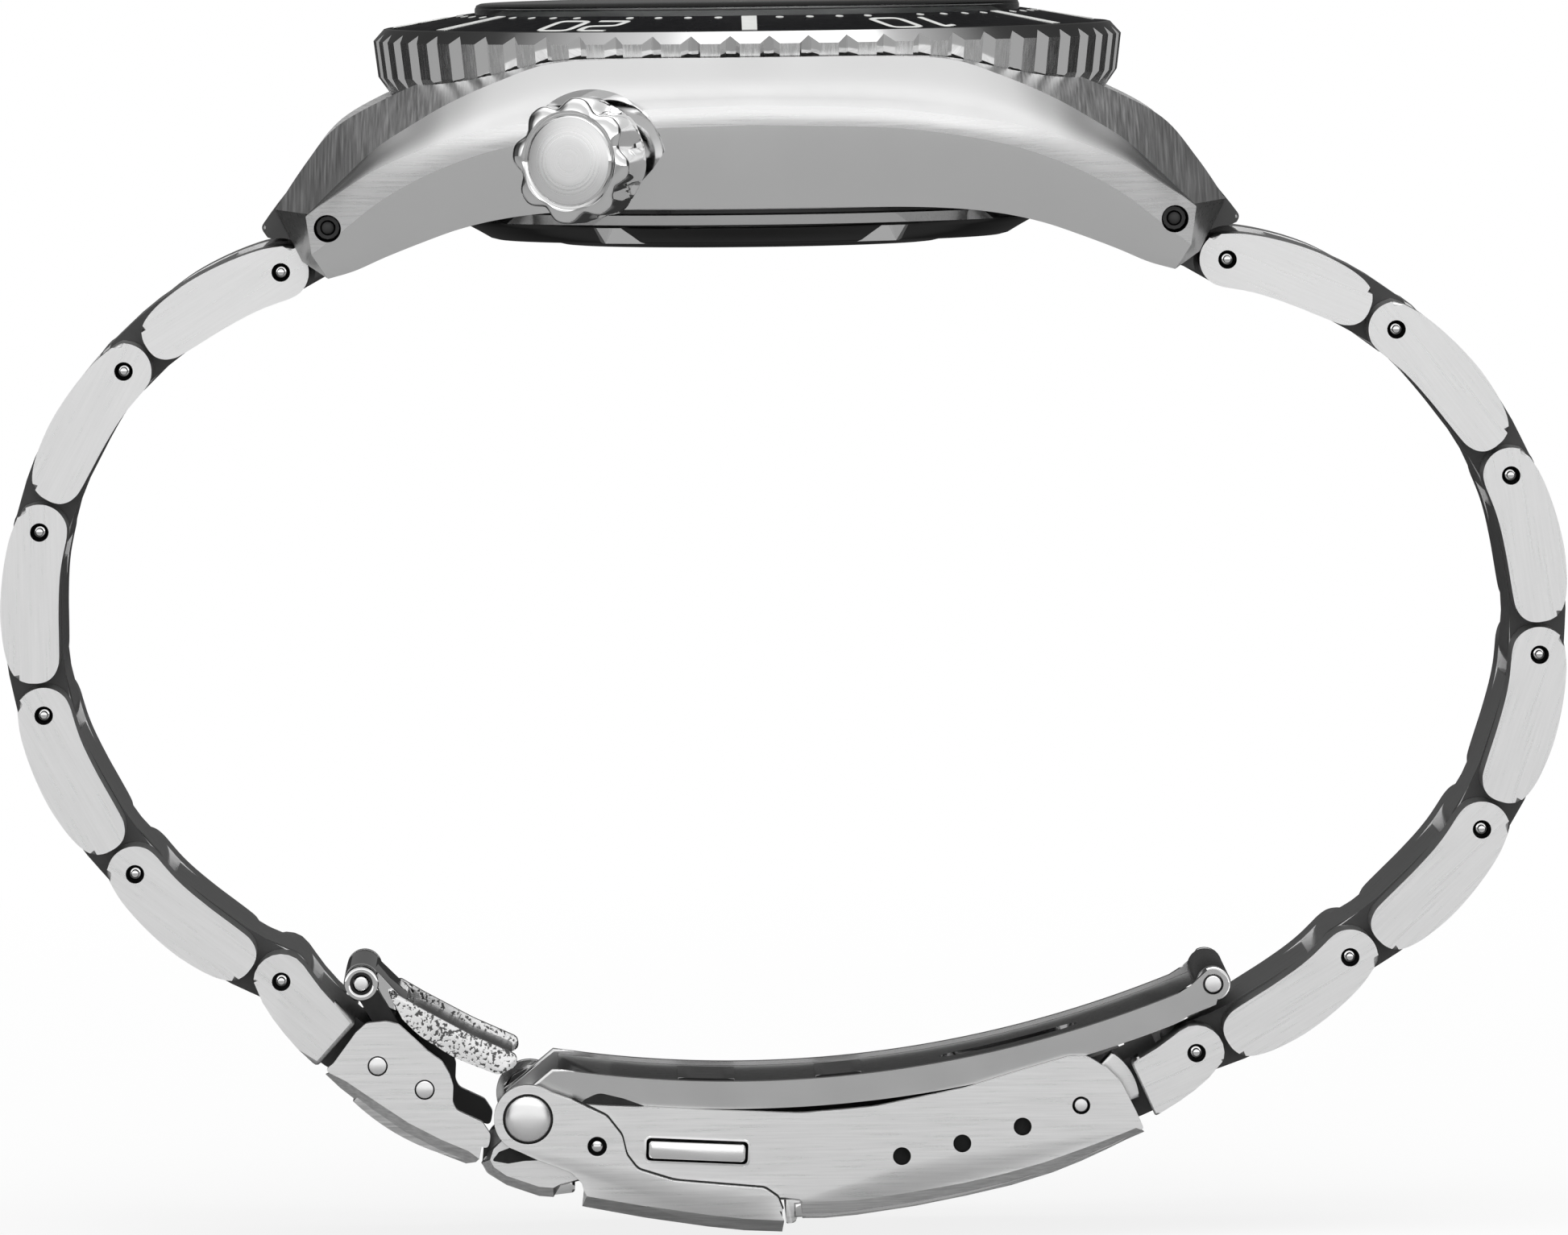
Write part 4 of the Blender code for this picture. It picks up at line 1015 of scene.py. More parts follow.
def link_pin(name, reach):
    """The pin's two visible ends: a bright tip in a dark collar, the collar dark steel as painted shade in
    the link's hole.
    """
    shape = bmesh.new()
    for sign in (-1, 1):
        for material, (radius, depth) in enumerate(((0.22, 0.35), (0.36, 1.0))):
            prism_into(shape, circle((0, 0), radius, 20), sign * 7.0, sign * (reach - depth), 0.05, material)
    return finish_mesh(name + "_finish", shape, ("chrome", "dark_steel"))


def link(name, head, tail, side, widths, end_gap, tail_radius, body):
    segment = Segment(head, tail, side)
    bars = link_bars(name, segment, widths, end_gap)
    seat(bars, body, name, slot="brushed_steel", place=segment.matrix)
    seat(link_centre(name, segment.length, tail_radius), body, place=segment.matrix)
    pin = name.replace("link", "pin")
    seat(link_pin(pin, widths[0]), body, pin, slot="polished_steel", place=segment.matrix)


def chain(label, side, tail_pin, last_gap, last_tail):
    count = len([joint for joint in JOINTS if joint.startswith(f"hinge_{label}_")]) - 1
    pins = [pin_at(f"hinge_{label}_{index + 1}") for index in range(count)] + [tail_pin]
    for index in range(count):
        last = index == count - 1
        widths = tuple(9.9 - 0.8 * (index + step) / count for step in (0, 1))
        name = f"link_{label}_{index + 1}"
        gap = last_gap if last else BAR_GAP
        link(name, pins[index], pins[index + 1], side, widths, gap, last_tail if last else 1.6, BODY_OF[name])


def swung_link(label, side, pin):
    """The outer bars of the first link, a little enlarged and folded to the end of their range."""
    joint = JOINTS[f"hinge_{label}_1"]
    place = Matrix.Translation(Vector(joint["pos_m"]))
    turn = Matrix.Rotation(radians(joint["range_deg"][1]), 4, Vector(joint["axis"]))
    segment = Segment(pin, pin_at(f"hinge_{label}_2"), side)
    grown = [(x, n + (0.12 if n > 0 else -0.12)) for x, n in bar_outline(segment.length - BAR_GAP)]
    swung = sides_pair("swung_link", grown, CENTRE_HALF + 0.05, 12, END_MATERIALS)
    swung.matrix_world = place @ turn @ place.inverted() @ segment.matrix
    return swung


END_CORNERS = (
    (18.0, 7.9, 0), (20.1, 8.05, 1.0), (22.0, 7.1, 2.0), (23.6, 5.75, 2.0), (25.2, 3.95, 2.0),
    (26.6, 2.2, 1.0),
    (27.2, 1.4, 0.4), (25.0, -1.7, 0.4), (22.8, -0.9, 1.0), (20.4, 0.5, 1.0), (18.0, 2.6, 0),
)


def end_link(label, side):
    """Fills the space between the lugs and reaches round the first pin."""
    pin = pin_at(f"hinge_{label}_1")
    outline = rounded([(side * x, z, r) for x, z, r in END_CORNERS])
    block = prism(f"end_link_{label}_finish", outline, -9.9, 9.9, END_MATERIALS, 0.2, 1)
    combine(block, [prism("knuckle_cut", circle(pin, 1.9, 48), -20, 20, END_MATERIALS)])
    low, high = (60, -110) if side > 0 else (80, 280)
    root = [(side * (abs(pin[0]) - 3.84), pin[1] + 0.4), (side * (abs(pin[0]) - 2.6), pin[1] + 3.6)]
    tongue = prism("tongue", [*arc(pin, 1.6, low, high, 20), *root], -5, 5, END_MATERIALS, 0, 1)
    combine(block, [tongue], "UNION")
    combine(block, [swung_link(label, side, pin)])
    combine(block, [disc_solid("case_cut", BODY_RADIUS + 0.15, -10, 20, 160, END_MATERIALS, 0)])
    seat(block, "watch_head", f"end_link_{label}", slot="brushed_steel")


# --- Clasp ------------------------------------------------------------------------------------

COVER_HALF, LOCK_HALF = 9.0, 9.95
BLADE_HALF, SHORT_HALF = 7.95, 7.0
EXTENSION_HALF = 8.9
CLASP_PIVOT = (-12.96, -48.38)
BLADE_PIVOT = (25.3, -41.45)
ADJUST_HOLES = ((7.83, -50.77), (11.2, -50.1), (14.57, -49.2))
EXTENSION_PIN = (-18.7, -46.75)
CURL_PIN = (-22.18, -40.9)
DIMPLE = (-9.13, -49.95)
BUTTON_CENTRE, BUTTON_TILT = (-3.57, -50.35), radians(-3)
CLASP_MATERIALS = ("cover", "edge_light", "black", "dark_steel", "polished", "edge_dark")


def on_arc(centre, radius, x):
    """The lower point of a circle at this x."""
    return (x, centre[1] - sqrt(radius**2 - (x - centre[0]) ** 2))


def arc_run(centre, radius, start, end, steps):
    return [on_arc(centre, radius, start + (end - start) * step / steps) for step in range(steps + 1)]


def strip(centre, inner, outer, start, end, steps=24):
    return arc_run(centre, inner, start, end, steps) + arc_run(centre, outer, end, start, steps)


COVER_TOP = (
    (-14.6, -49.6, 0.2), (-14.5, -48.6, 1.0), (-13.9, -47.3, 0.6), (-13.0, -46.85, 0.6), (-12.0, -47.0, 0.5),
    (-11.2, -47.6, 0.6), (-2.9, -48.1, 8), (2.3, -48.3, 8), (6.25, -48.0, 8), (11.5, -47.0, 8),
    (14.5, -46.1, 6),
    (17.2, -45.35, 0.8), (18.3, -45.35, 0.8), (19.3, -46.0, 0.8), (20.1, -46.8, 1.0), (20.9, -48.4, 1.2),
    (21.35, -49.45, 0.15),
)
COVER_RIM = (
    (21.35, -49.6), (20.4, -50.0), (19.25, -50.55), (17.8, -51.2), (16.2, -51.82), (13.9, -52.5),
    (11.4, -53.05),
    (8.5, -53.6), (5.3, -54.05), (3.5, -54.2), (2.25, -54.2),
)
COVER_CREASE = (
    (20.9, -49.35), (20.0, -49.7), (18.8, -50.15), (17.4, -50.65), (15.8, -51.2), (13.6, -51.8),
    (11.2, -52.32),
    (8.3, -52.8), (5.3, -53.2), (3.5, -53.25), (2.25, -53.25),
)
COVER_TONGUE = (
    (-11.6, -52.85), (-12.4, -52.78), (-14.2, -52.15), (-15.3, -51.45), (-15.75, -50.95), (-15.2, -50.2),
)
# Painted shade: a black sheet drawn on the cover's side where its hooked end shows a dark hollow.
COVER_SCOOP_SHADE = (
    (-15.0, -50.75, 0.1), (-14.6, -50.25, 0.3), (-13.9, -50.0, 0.4), (-12.9, -50.35, 1.0),
    (-12.1, -50.75, 0.1),
    (-13.2, -50.78, 1.0), (-14.1, -50.92, 0.5),
)


def bevelled_wall(name, outline, crease, rim, half, depth, slope_in, indices, sign):
    """A side wall with a bevelled lower edge: crease runs on the face, rim below it and further in."""
    shape = bmesh.new()
    face = [shape.verts.new((x, sign * half, z)) for x, z in [*outline, *crease]]
    edge = [shape.verts.new((x, sign * (half - slope_in), z)) for x, z in rim]
    back = [shape.verts.new((x, sign * (half - depth), z)) for x, z in [*outline, *rim]]
    count = len(outline)
    plain_index, bevel_index, inner_index = indices
    flats = [
        face,
        (face[count - 1], face[count], edge[0]),
        (face[count - 1], edge[0], back[count], back[count - 1]),
        (face[-1], face[0], edge[-1]),
        (edge[-1], face[0], back[0], back[-1]),
        *[(face[i], face[i + 1], back[i + 1], back[i]) for i in range(count - 1)],
    ]
    bevels = [(face[count + i], face[count + i + 1], edge[i + 1], edge[i]) for i in range(len(crease) - 1)]
    unders = [(edge[i], edge[i + 1], back[count + i + 1], back[count + i]) for i in range(len(crease) - 1)]
    inner = [list(reversed(back))]
    for index, faces in ((plain_index, flats), (bevel_index, bevels + unders), (inner_index, inner)):
        for corners in faces:
            shape.faces.new(corners).material_index = index
    return finish_mesh(name, shape, CLASP_MATERIALS, 12)


def drill(piece, holes, materials, index, depth=20, steps=40):
    """Cuts round holes right across a piece; each hole is (x, z, radius)."""
    return combine(piece, [
        painted(prism("drill", circle((x, z), radius, steps), -depth, depth, materials), index)
        for x, z, radius in holes
    ])


def button_outline(margin, radius):
    turn = (cos(BUTTON_TILT), sin(BUTTON_TILT))
    placed = [
        (BUTTON_CENTRE[0] + x * turn[0] - z * turn[1], BUTTON_CENTRE[1] + x * turn[1] + z * turn[0], radius)
        for x, z in oblong(2.7 + margin, 0.5 + margin)
    ]
    return rounded(placed, 6)


COVER_RECESS = ((2.1, -53.1), (1.3, -53.0), (-2.0, -52.95), (-6.0, -52.5), (-10.2, -51.85), (-11.2, -52.1))


def cover_wall(sign):
    """One side of the cover: the brushed plate with the slot it drops into under the lock."""
    tongue = [(x, z + 0.55) for x, z in COVER_TONGUE[:3]]
    crease = [*COVER_CREASE, *COVER_RECESS, *tongue, (-14.9, -51.1), (-15.1, -50.7), (-14.9, -50.1)]
    recess = [(x, z - 0.12) for x, z in COVER_RECESS]
    rim = [*COVER_RIM, *recess, *COVER_TONGUE[:3], (-15.2, -51.5), (-15.6, -50.9), (-15.1, -50.2)]
    top = rounded(COVER_TOP, 6)
    return bevelled_wall(f"cover_wall_{sign}", top, crease, rim, COVER_HALF, 0.95, 0.42, (0, 1, 3), sign)


COVER_CENTRE, COVER_RADIUS = (0.6, -5.3), 49.0
COVER_LIP = (
    (-15.6, -50.85, 0.3), (-15.1, -50.2, 0.6), (-12.6, -51.0, 1.0), (-10.4, -51.9, 1.0), (-10.4, -52.6, 0.2),
    (-12.2, -52.8, 1.0), (-14.2, -52.15, 1.0), (-15.3, -51.45, 0.6),
)
COVER_TAB = (
    (1.35, -53.0, 0.1), (2.1, -53.1, 0.1), (2.15, -53.7, 0.3), (1.85, -54.45, 0.3), (1.35, -54.5, 0.1),
)
RIVET_DOME = (
    (0, 0.36), (0.4, 0.35), (0.8, 0.29), (1.1, 0.17), (1.26, 0.02), (1.32, -0.14), (1.32, -0.9), (0, -0.9),
)


def cover_side(sign):
    """A cover wall with its button window, the rim round the window and the bores; the window's and holes'
    walls and a disc inside each adjusting hole are shadow black, as painted shade.
    """
    wall = cover_wall(sign)
    window = prism("window", button_outline(0.14, 0.3), sign * 7.9, sign * 10, CLASP_MATERIALS)
    combine(wall, [painted(window, 2)])
    drill(wall, [(*place, 0.5) for place in (*ADJUST_HOLES, pin_at("hinge_12_8"))], CLASP_MATERIALS, 2)
    seat(softened(wall), "clasp_cover")
    ends = sign * (COVER_HALF - 0.4), sign * (COVER_HALF + 0.03)
    rim = prism(f"button_rim_{sign}", button_outline(0.26, 0.4), *ends, CLASP_MATERIALS, 0.03, 4)
    combine(rim, [prism("rim_hollow", button_outline(0.14, 0.3), -20, 20, CLASP_MATERIALS)])
    seat(rim, "clasp_cover")
    # A black disc inside each adjusting hole: painted shade.
    for x, z in ADJUST_HOLES:
        plug = rod(f"adjust_bore_{sign}_{x}", (x, z), 0.49, sign * 8.2, sign * 8.35, ("black",), 0.0, 24)
        seat(plug, "clasp_cover")


def between(name, outline, half, materials, bevel=0.0):
    """A bar or plate right across, as far as half on both sides, with its own rim material."""
    return prism(name, outline, -half, half, materials, bevel, 1)


def clasp_cover():
    for sign in (-1, 1):
        cover_side(sign)
    inner = COVER_HALF - 0.3
    floor = strip(COVER_CENTRE, COVER_RADIUS - 0.95, COVER_RADIUS - 0.15, 1.8, 20.6)
    floor = between("clasp_cover_finish", floor, inner, ("polished", "outer"), 0.1)
    lower = strip(COVER_CENTRE, COVER_RADIUS - 1.75, COVER_RADIUS - 1.15, -10.6, 2.4)
    lower = between("cover_floor", lower, inner, ("blade_inner", "blade_inner"))
    lip = between("cover_tongue", rounded(COVER_LIP), COVER_HALF - 0.4, ("polished", "outer"), 0.2)
    tab = between("cover_tab", rounded(COVER_TAB), COVER_HALF - 0.4, ("cover", "polished"), 0.15)
    seat(tab, "clasp_cover")
    seat(floor, "clasp_cover", "clasp_cover", slot="brushed_steel")
    seat(lower, "clasp_cover")
    seat(lip, "clasp_cover")
    # Black sheets on the cover's sides: painted shade of the hollow at its hooked end.
    for sign in (-1, 1):
        scoop_shade = prism(f"cover_scoop_{sign}", rounded(COVER_SCOOP_SHADE), sign * COVER_HALF, sign * 9.03, ("black",))
        seat(scoop_shade, "clasp_cover")
    bar = prism("clasp_spring_bar_finish", circle(pin_at("hinge_12_8"), 0.4, 24), -8.8, 8.8, ("dome",), 0.08)
    seat(bar, "clasp_cover", "clasp_spring_bar", slot="polished_steel")


def lock_rivet():
    """A shaft with a domed head at each end."""
    shape = bmesh.new()
    for sign in (1, -1):
        turned_into(shape, [(radius, sign * (z + LOCK_HALF)) for radius, z in RIVET_DOME], 48)
    turned_into(shape, ((0, -9.4), (0.5, -9.4), (0.5, 9.4), (0, 9.4)), 24)
    rivet = finish_mesh("lock_rivet_finish", shape, ("dome",), 30)
    place = at(CLASP_PIVOT[0], 0, CLASP_PIVOT[1]) @ Matrix.Rotation(pi / 2, 4, "X")
    seat(rivet, "clasp_cover", "lock_rivet", slot="polished_steel", place=place)


def push_button(name, sign):
    made = prism(name + "_finish", button_outline(-0.02, 0.22), sign * 7.4, sign * 9.33, ("button",), 0.1)
    seat(made, name, name, slot="polished_steel")


LOCK_UPPER = (
    (-11.6, -46.95, 0.5), (-10.5, -47.35, 0.6), (-8.6, -48.3, 0.8), (-7.75, -49.4, 1.0), (-7.5, -50.5, 0.8),
    (-6.9, -51.3, 0.8), (-4.85, -51.95, 3.0), (-2.0, -52.22, 3.0), (0.15, -52.42, 0.7), (0.9, -52.95, 0.5),
    (1.22, -53.8, 0.1),
)
LOCK_CREASE = ((1.24, -54.22), (-1.0, -54.08), (-2.95, -53.85), (-6.4, -53.33), (-9.75, -52.72))
LOCK_RIM = ((1.12, -54.85), (-1.0, -54.75), (-3.0, -54.52), (-6.5, -53.98), (-10.0, -53.3))
LOCK_LEFT = ((-9.9, -52.4), (-10.0, -52.0), (-10.6, -51.4), (-11.4, -51.08), (-12.4, -50.7), (-13.4, -50.22))
LOCK_FLOOR = ((1.15, -54.15), (1.12, -54.8), (-3.0, -54.5), (-9.7, -53.3), (-9.4, -52.9), (-3.0, -53.72))


def facing(point, y, sign):
    """A place at the side, with Z turned outwards."""
    return at(point[0], y, point[1]) @ Matrix.Rotation(sign * -pi / 2, 4, "X")


def lock_side(sign, upper):
    """A cheek of the lock with painted shade: its darker bevel, a shadow line above it, a black ring round
    the rivet, black hole walls and a black back to the dimple.
    """
    outline = [*LOCK_LEFT, *arc(CLASP_PIVOT, 1.9, 236, 62, 20), *upper]
    # The bevel takes the darker edge steel: painted shade.
    wall = bevelled_wall(
        f"lock_cheek_{sign}", outline, LOCK_CREASE, LOCK_RIM, LOCK_HALF, 0.82, 0.35, (0, 5, 4), sign
    )
    # Painted shadow: a thin black strip on the cover's face just above the lock's upper edge.
    edge = [point for point in upper if point[0] > -10.5]
    line = [*[(x + 0.06, z + 0.08) for x, z in edge], *reversed([(x - 0.3, z - 0.3) for x, z in edge])]
    seat(prism(f"lock_gap_{sign}", line, sign * 9.03, sign * 9.11, ("black",)), "safety_lock")
    # The holes' walls are shadow black: painted shade.
    drill(wall, [(*CLASP_PIVOT, 1.4), (*DIMPLE, 0.54)], CLASP_MATERIALS, 2)
    seat(softened(wall, 0.14), "safety_lock")
    # A black ring in the gap round the rivet: painted shade.
    profile = ((1.2, 8.5), (1.42, 8.5), (1.42, LOCK_HALF - 0.12), (1.22, LOCK_HALF - 0.2))
    ring = turned(f"rivet_seat_{sign}", profile, 48, ("black",))
    seat(ring, "safety_lock", place=facing(CLASP_PIVOT, 0, sign))
    shape = bmesh.new()
    bmesh.ops.create_uvsphere(shape, u_segments=24, v_segments=14, radius=0.42)
    ball = finish_mesh(f"lock_dimple_{sign}", shape, ("chrome",))
    seat(ball, "safety_lock", place=at(DIMPLE[0], sign * (LOCK_HALF - 0.32), DIMPLE[1]))
    # A black disc behind the dimple: painted shade.
    ends = sign * (LOCK_HALF - 0.8), sign * (LOCK_HALF - 0.6)
    seat(rod(f"dimple_back_{sign}", DIMPLE, 0.57, *ends, ("black",)), "safety_lock")


def safety_lock():
    upper = rounded(((-13.4, -46.5, 0), *LOCK_UPPER))[1:]
    for sign in (-1, 1):
        lock_side(sign, upper)
    bottom = between("safety_lock_finish", LOCK_FLOOR, LOCK_HALF - 0.4, ("outer", "outer"), 0.08)
    seat(bottom, "safety_lock", "safety_lock", slot="polished_steel")


BLADE_CENTRE, BLADE_RADIUS = (-1.0, 19.9), 66.5
# A black sheet on each flange's face: painted shade of a dark scallop.
BLADE_SCALLOP_SHADE = (
    (-10.2, -48.1, 0.1), (-9.9, -47.5, 0.6), (-9.0, -47.1, 0.9), (-7.6, -47.45, 2.0), (-6.0, -48.05, 0.1),
)


BLADE_BOTTOM = BLADE_RADIUS + 1.5
FLANGE_MATERIALS = ("blade_edge", "chrome", "black", "blade_inner")
SHORT_MATERIALS = ("polished", "blade_inner")
WINDOW_STEPS = 40


def blade_long():
    """The folded sheet: a web between two flanges that carry both pivots."""
    web = strip(BLADE_CENTRE, BLADE_BOTTOM - 0.6, BLADE_BOTTOM, -9.5, 23.6)
    web = between("blade_long_finish", web, BLADE_HALF - 0.2, SHORT_MATERIALS)
    seat(web, "blade_long", "blade_long", slot="polished_steel")
    top = arc_run(BLADE_CENTRE, BLADE_RADIUS - 0.02, -11.6, 24.2, 40)
    base = arc_run(BLADE_CENTRE, BLADE_BOTTOM, 23.9, -9.2, 40)
    outline = [*top, *arc(BLADE_PIVOT, 1.0, 115, -85, 16), *base, *arc(CLASP_PIVOT, 1.5, 300, 165, 12)]
    flanges = sides_pair(
        "blade_flanges", outline, BLADE_HALF - 0.78, BLADE_HALF, FLANGE_MATERIALS, 0.16, 1, 40
    )
    # The pivot holes' walls are shadow black: painted shade.
    drill(flanges, [(*BLADE_PIVOT, 0.58), (*CLASP_PIVOT, 0.58)], FLANGE_MATERIALS, 2)
    seat(weighted(flanges), "blade_long")
    # Black sheets on the flanges: painted shade.
    for sign in (-1, 1):
        ends = sign * BLADE_HALF, sign * (BLADE_HALF + 0.03)
        scallop_shade = prism(f"blade_scallop_{sign}", rounded(BLADE_SCALLOP_SHADE, 6), *ends, ("black",))
        seat(scallop_shade, "blade_long")


def blade_window():
    """The cutter of the long round-ended slot in the short blade."""
    x0 = 14.0
    outline = [
        (2.6 * (1 if cos(a) > 0 else -1) + 1.3 * cos(a), 1.3 * sin(a))
        for a in (tau * k / WINDOW_STEPS for k in range(WINDOW_STEPS))
    ]
    shape = bmesh.new()
    stack(shape, [[shape.verts.new((x0 + x, y, z)) for x, y in outline] for z in (-60, -20)])
    return finish_mesh("blade_window", shape, SHORT_MATERIALS)


def blade_short():
    """The thin plate on its barrel, with a slot and two raised pads."""
    plate = strip(BLADE_CENTRE, BLADE_RADIUS + 0.22, BLADE_RADIUS + 0.78, -11.3, 24.4)
    plate = between("blade_short_finish", plate, SHORT_HALF, SHORT_MATERIALS, 0.1)
    combine(plate, [blade_window()])
    barrel = circle(BLADE_PIVOT, 0.99, 32)
    barrel = between("blade_barrel", barrel, SHORT_HALF, ("blade_edge", "blade_inner"), 0.12)
    seat(plate, "blade_short", "blade_short", slot="polished_steel")
    seat(barrel, "blade_short")
    for x, half, width in ((-3.0, 4.4, 3.2), (4.4, 4.4, 2.6)):
        low, high = x - width / 2, x + width / 2
        raised = strip(BLADE_CENTRE, BLADE_RADIUS + 0.06, BLADE_RADIUS + 0.24, low, high, 8)
        # The pads' ends are shadow black: painted shade.
        seat(between(f"blade_pad_{x}", raised, half, ("black", "blade_pad"), 0.05), "blade_short")


def blade_pin():
    half = BLADE_HALF - 0.02
    pin = prism("blade_pin_finish", circle(BLADE_PIVOT, 0.5, 32), -half, half, ("dome",), 0.12)
    seat(pin, "blade_long", "blade_pin", slot="polished_steel")


CURL_EYE = (
    (0.58, 0.0), (0.97, 0.0), (0.98, 0.12), (0.92, 0.2), (0.78, 0.24), (0.64, 0.2), (0.58, 0.12), (0.58, 0.0),
)
EXTENSION_SIDE = (
    (-24.25, -45.6, 0.4), (-23.75, -45.2, 0.3), (-22.48, -43.5, 0.6), (-21.9, -43.0, 0.5),
    (-20.8, -42.9, 0.5),
    (-20.1, -43.1, 0.6), (-18.5, -44.6, 1.5), (-17.7, -45.2, 0.6), (-17.3, -45.9, 0.6), (-17.1, -46.55, 0.8),
    (-17.15, -47.45, 0.6), (-16.95, -47.9, 0.6), (-15.5, -48.6, 0.5), (-15.05, -49.3, 0.5),
    (-15.2, -50.15, 0.3),
)
EXTENSION_CREASE = (
    (-15.7, -50.65), (-16.3, -50.2), (-17.8, -49.55), (-19.6, -48.6), (-21.3, -47.45), (-23.1, -46.2),
    (-24.0, -45.75),
)
EXTENSION_RIM = (
    (-15.9, -50.85), (-16.45, -50.92), (-18.0, -50.3), (-19.85, -49.3), (-21.6, -48.05), (-23.4, -46.62),
    (-24.2, -45.85),
)
EXTENSION_CURVE = (-13.8, -38.3)
EXTENSION_SHEET = (
    (-20.6, -41.6, 0.2), (-20.1, -41.6, 0.2), (-18.8, -42.38, 4), (-16.1, -43.85, 6), (-13.6, -44.98, 0.4),
    (-13.5, -45.6, 0.5), (-14.6, -46.12, 0.5), (-17.0, -45.15, 6), (-19.0, -43.85, 4), (-19.9, -42.95, 0.5),
)
EXTENSION_WEB = (
    (-19.6, -42.6, 0.2), (-18.6, -42.95, 2), (-16.1, -44.3, 4), (-13.8, -45.3, 0.2), (-14.2, -45.95, 0.2),
    (-16.8, -44.95, 4), (-19.2, -43.45, 1),
)
# The rounded end of a pin: distance inside the cheek's face and radius.
PIN_END = ((0.02, 0), (0.03, 0.4), (0.07, 0.48), (0.16, 0.51))
EYE_RADIUS = 0.93
ARM_HALF_HEIGHT = 0.45


def extension_end():
    """The end piece: two cheeks, a curved floor and the pins through them."""
    tail_pin, half = pin_at("hinge_6_7"), EXTENSION_HALF
    for sign in (-1, 1):
        wall = bevelled_wall(
            f"extension_cheek_{sign}", rounded(EXTENSION_SIDE), EXTENSION_CREASE, EXTENSION_RIM,
            half, 0.9, 0.4, (0, 1, 3), sign,
        )
        # The holes' walls are shadow black: painted shade.
        drill(wall, [(*tail_pin, 0.56), (*EXTENSION_PIN, 0.56)], CLASP_MATERIALS, 2)
        seat(softened(wall), "extension_end")
    floor = [*arc(EXTENSION_CURVE, 12.7, 225.5, 259, 20), *arc(EXTENSION_CURVE, 11.9, 259, 225.5, 20)]
    base = between("extension_end_finish", floor, half - 0.3, ("outer", "outer"), 0.05)
    seat(base, "extension_end", "extension_end", slot="brushed_steel")
    near_end = [(radius, half - depth) for depth, radius in PIN_END]
    far_end = [(radius, -z) for radius, z in reversed(near_end)]
    for name, centre in (("pin_6_7", tail_pin), ("extension_pin", EXTENSION_PIN)):
        pin = turned(name + "_finish", [*near_end, *far_end], 32, ("dome",))
        place = at(centre[0], 0, centre[1]) @ Matrix.Rotation(pi / 2, 4, "X")
        seat(pin, BODY_OF[name], name, slot="polished_steel", place=place)
    pin = prism("extension_curl_pin_finish", circle(CURL_PIN, 0.4, 32), -7.48, 7.48, ("dome",), 0.1)
    seat(pin, BODY_OF["extension_curl_pin"], "extension_curl_pin", slot="polished_steel")


def extension_plate_1():
    """Two arms with an eye at each end, joined by a tie bar."""
    first = Segment(EXTENSION_PIN, CURL_PIN, 1)
    length, height = first.length, ARM_HALF_HEIGHT
    arm = [
        *arc((0, 0), EYE_RADIUS, 270, 90, 14), (0.8, height), (length - 0.8, height),
        *arc((length, 0), EYE_RADIUS, 90, -90, 14), (length - 0.8, -height), (0.8, -height),
    ]
    shape = bmesh.new()
    for sign in (-1, 1):
        prism_into(shape, arm, sign * 5.45, sign * 7.28, 0.12, 1)
    tie_x = 0.64 * length
    prism_into(shape, [(tie_x + x, z) for x, z in oblong(0.5, 0.33)], -6, 6)
    # The arms' faces, the tie bar and the bores are shadow black: painted shade between the cheeks.
    materials = ("black", "dark_steel")
    arms = finish_mesh("extension_plate_1_finish", shape, materials)
    bores = ((0, 0.56), (length, 0.48))
    combine(arms, [prism("arm_bore", circle((x, 0), radius, 24), -20, 20, materials) for x, radius in bores])
    seat(arms, "extension_plate_1", "extension_plate_1", slot="polished_steel", place=first.matrix)
    for sign in (-1, 1):
        eye = turned(f"curl_eye_{sign}", CURL_EYE, 48, ("chrome",))
        seat(eye, "extension_plate_1", place=facing(CURL_PIN, sign * 7.1, sign))


def extension_plate_2():
    """Two cast cheeks, the web between them and the tube that curls round the pin."""
    cheeks = sides_pair(
        "extension_plate_2_finish", rounded(EXTENSION_SHEET), 6.3, 7.0, ("cast", "chrome"), 0.2, 1
    )
    seat(cheeks, "extension_plate_2", "extension_plate_2", slot="polished_steel")
    web = prism("extension_web", rounded(EXTENSION_WEB), -6.4, 6.4, ("blade_inner", "blade_inner"), 0.1)
    curl = [*arc(CURL_PIN, 0.99, 32, 300, 30), (-20.1, -42.8), (-19.7, -42.0)]
    tube = prism("extension_curl", curl, -5.2, 5.2, ("chrome", "chrome"), 0.12)
    combine(tube, [prism("curl_bore", circle(CURL_PIN, 0.5, 32), -20, 20, ("chrome", "chrome"))])
    seat(web, "extension_plate_2")
    seat(tube, "extension_plate_2")


# --- Inside -----------------------------------------------------------------------------------

INSIDE_FINISH = {
    "movement": "brass",
    "movement_ring": "brass",
    "rotor": "polished",
    "crown_stem": "dark_steel",
    "spring_bar_6": "dark_steel",
    "spring_bar_12": "dark_steel",
}


def inside():
    """The hidden parts keep their CAD shapes and take finished materials."""
    for node, key in INSIDE_FINISH.items():
        mesh = bpy.data.objects[node].data
        mesh.materials.clear()
        mesh.materials.append(MATS[key])


# --- Studio -----------------------------------------------------------------------------------

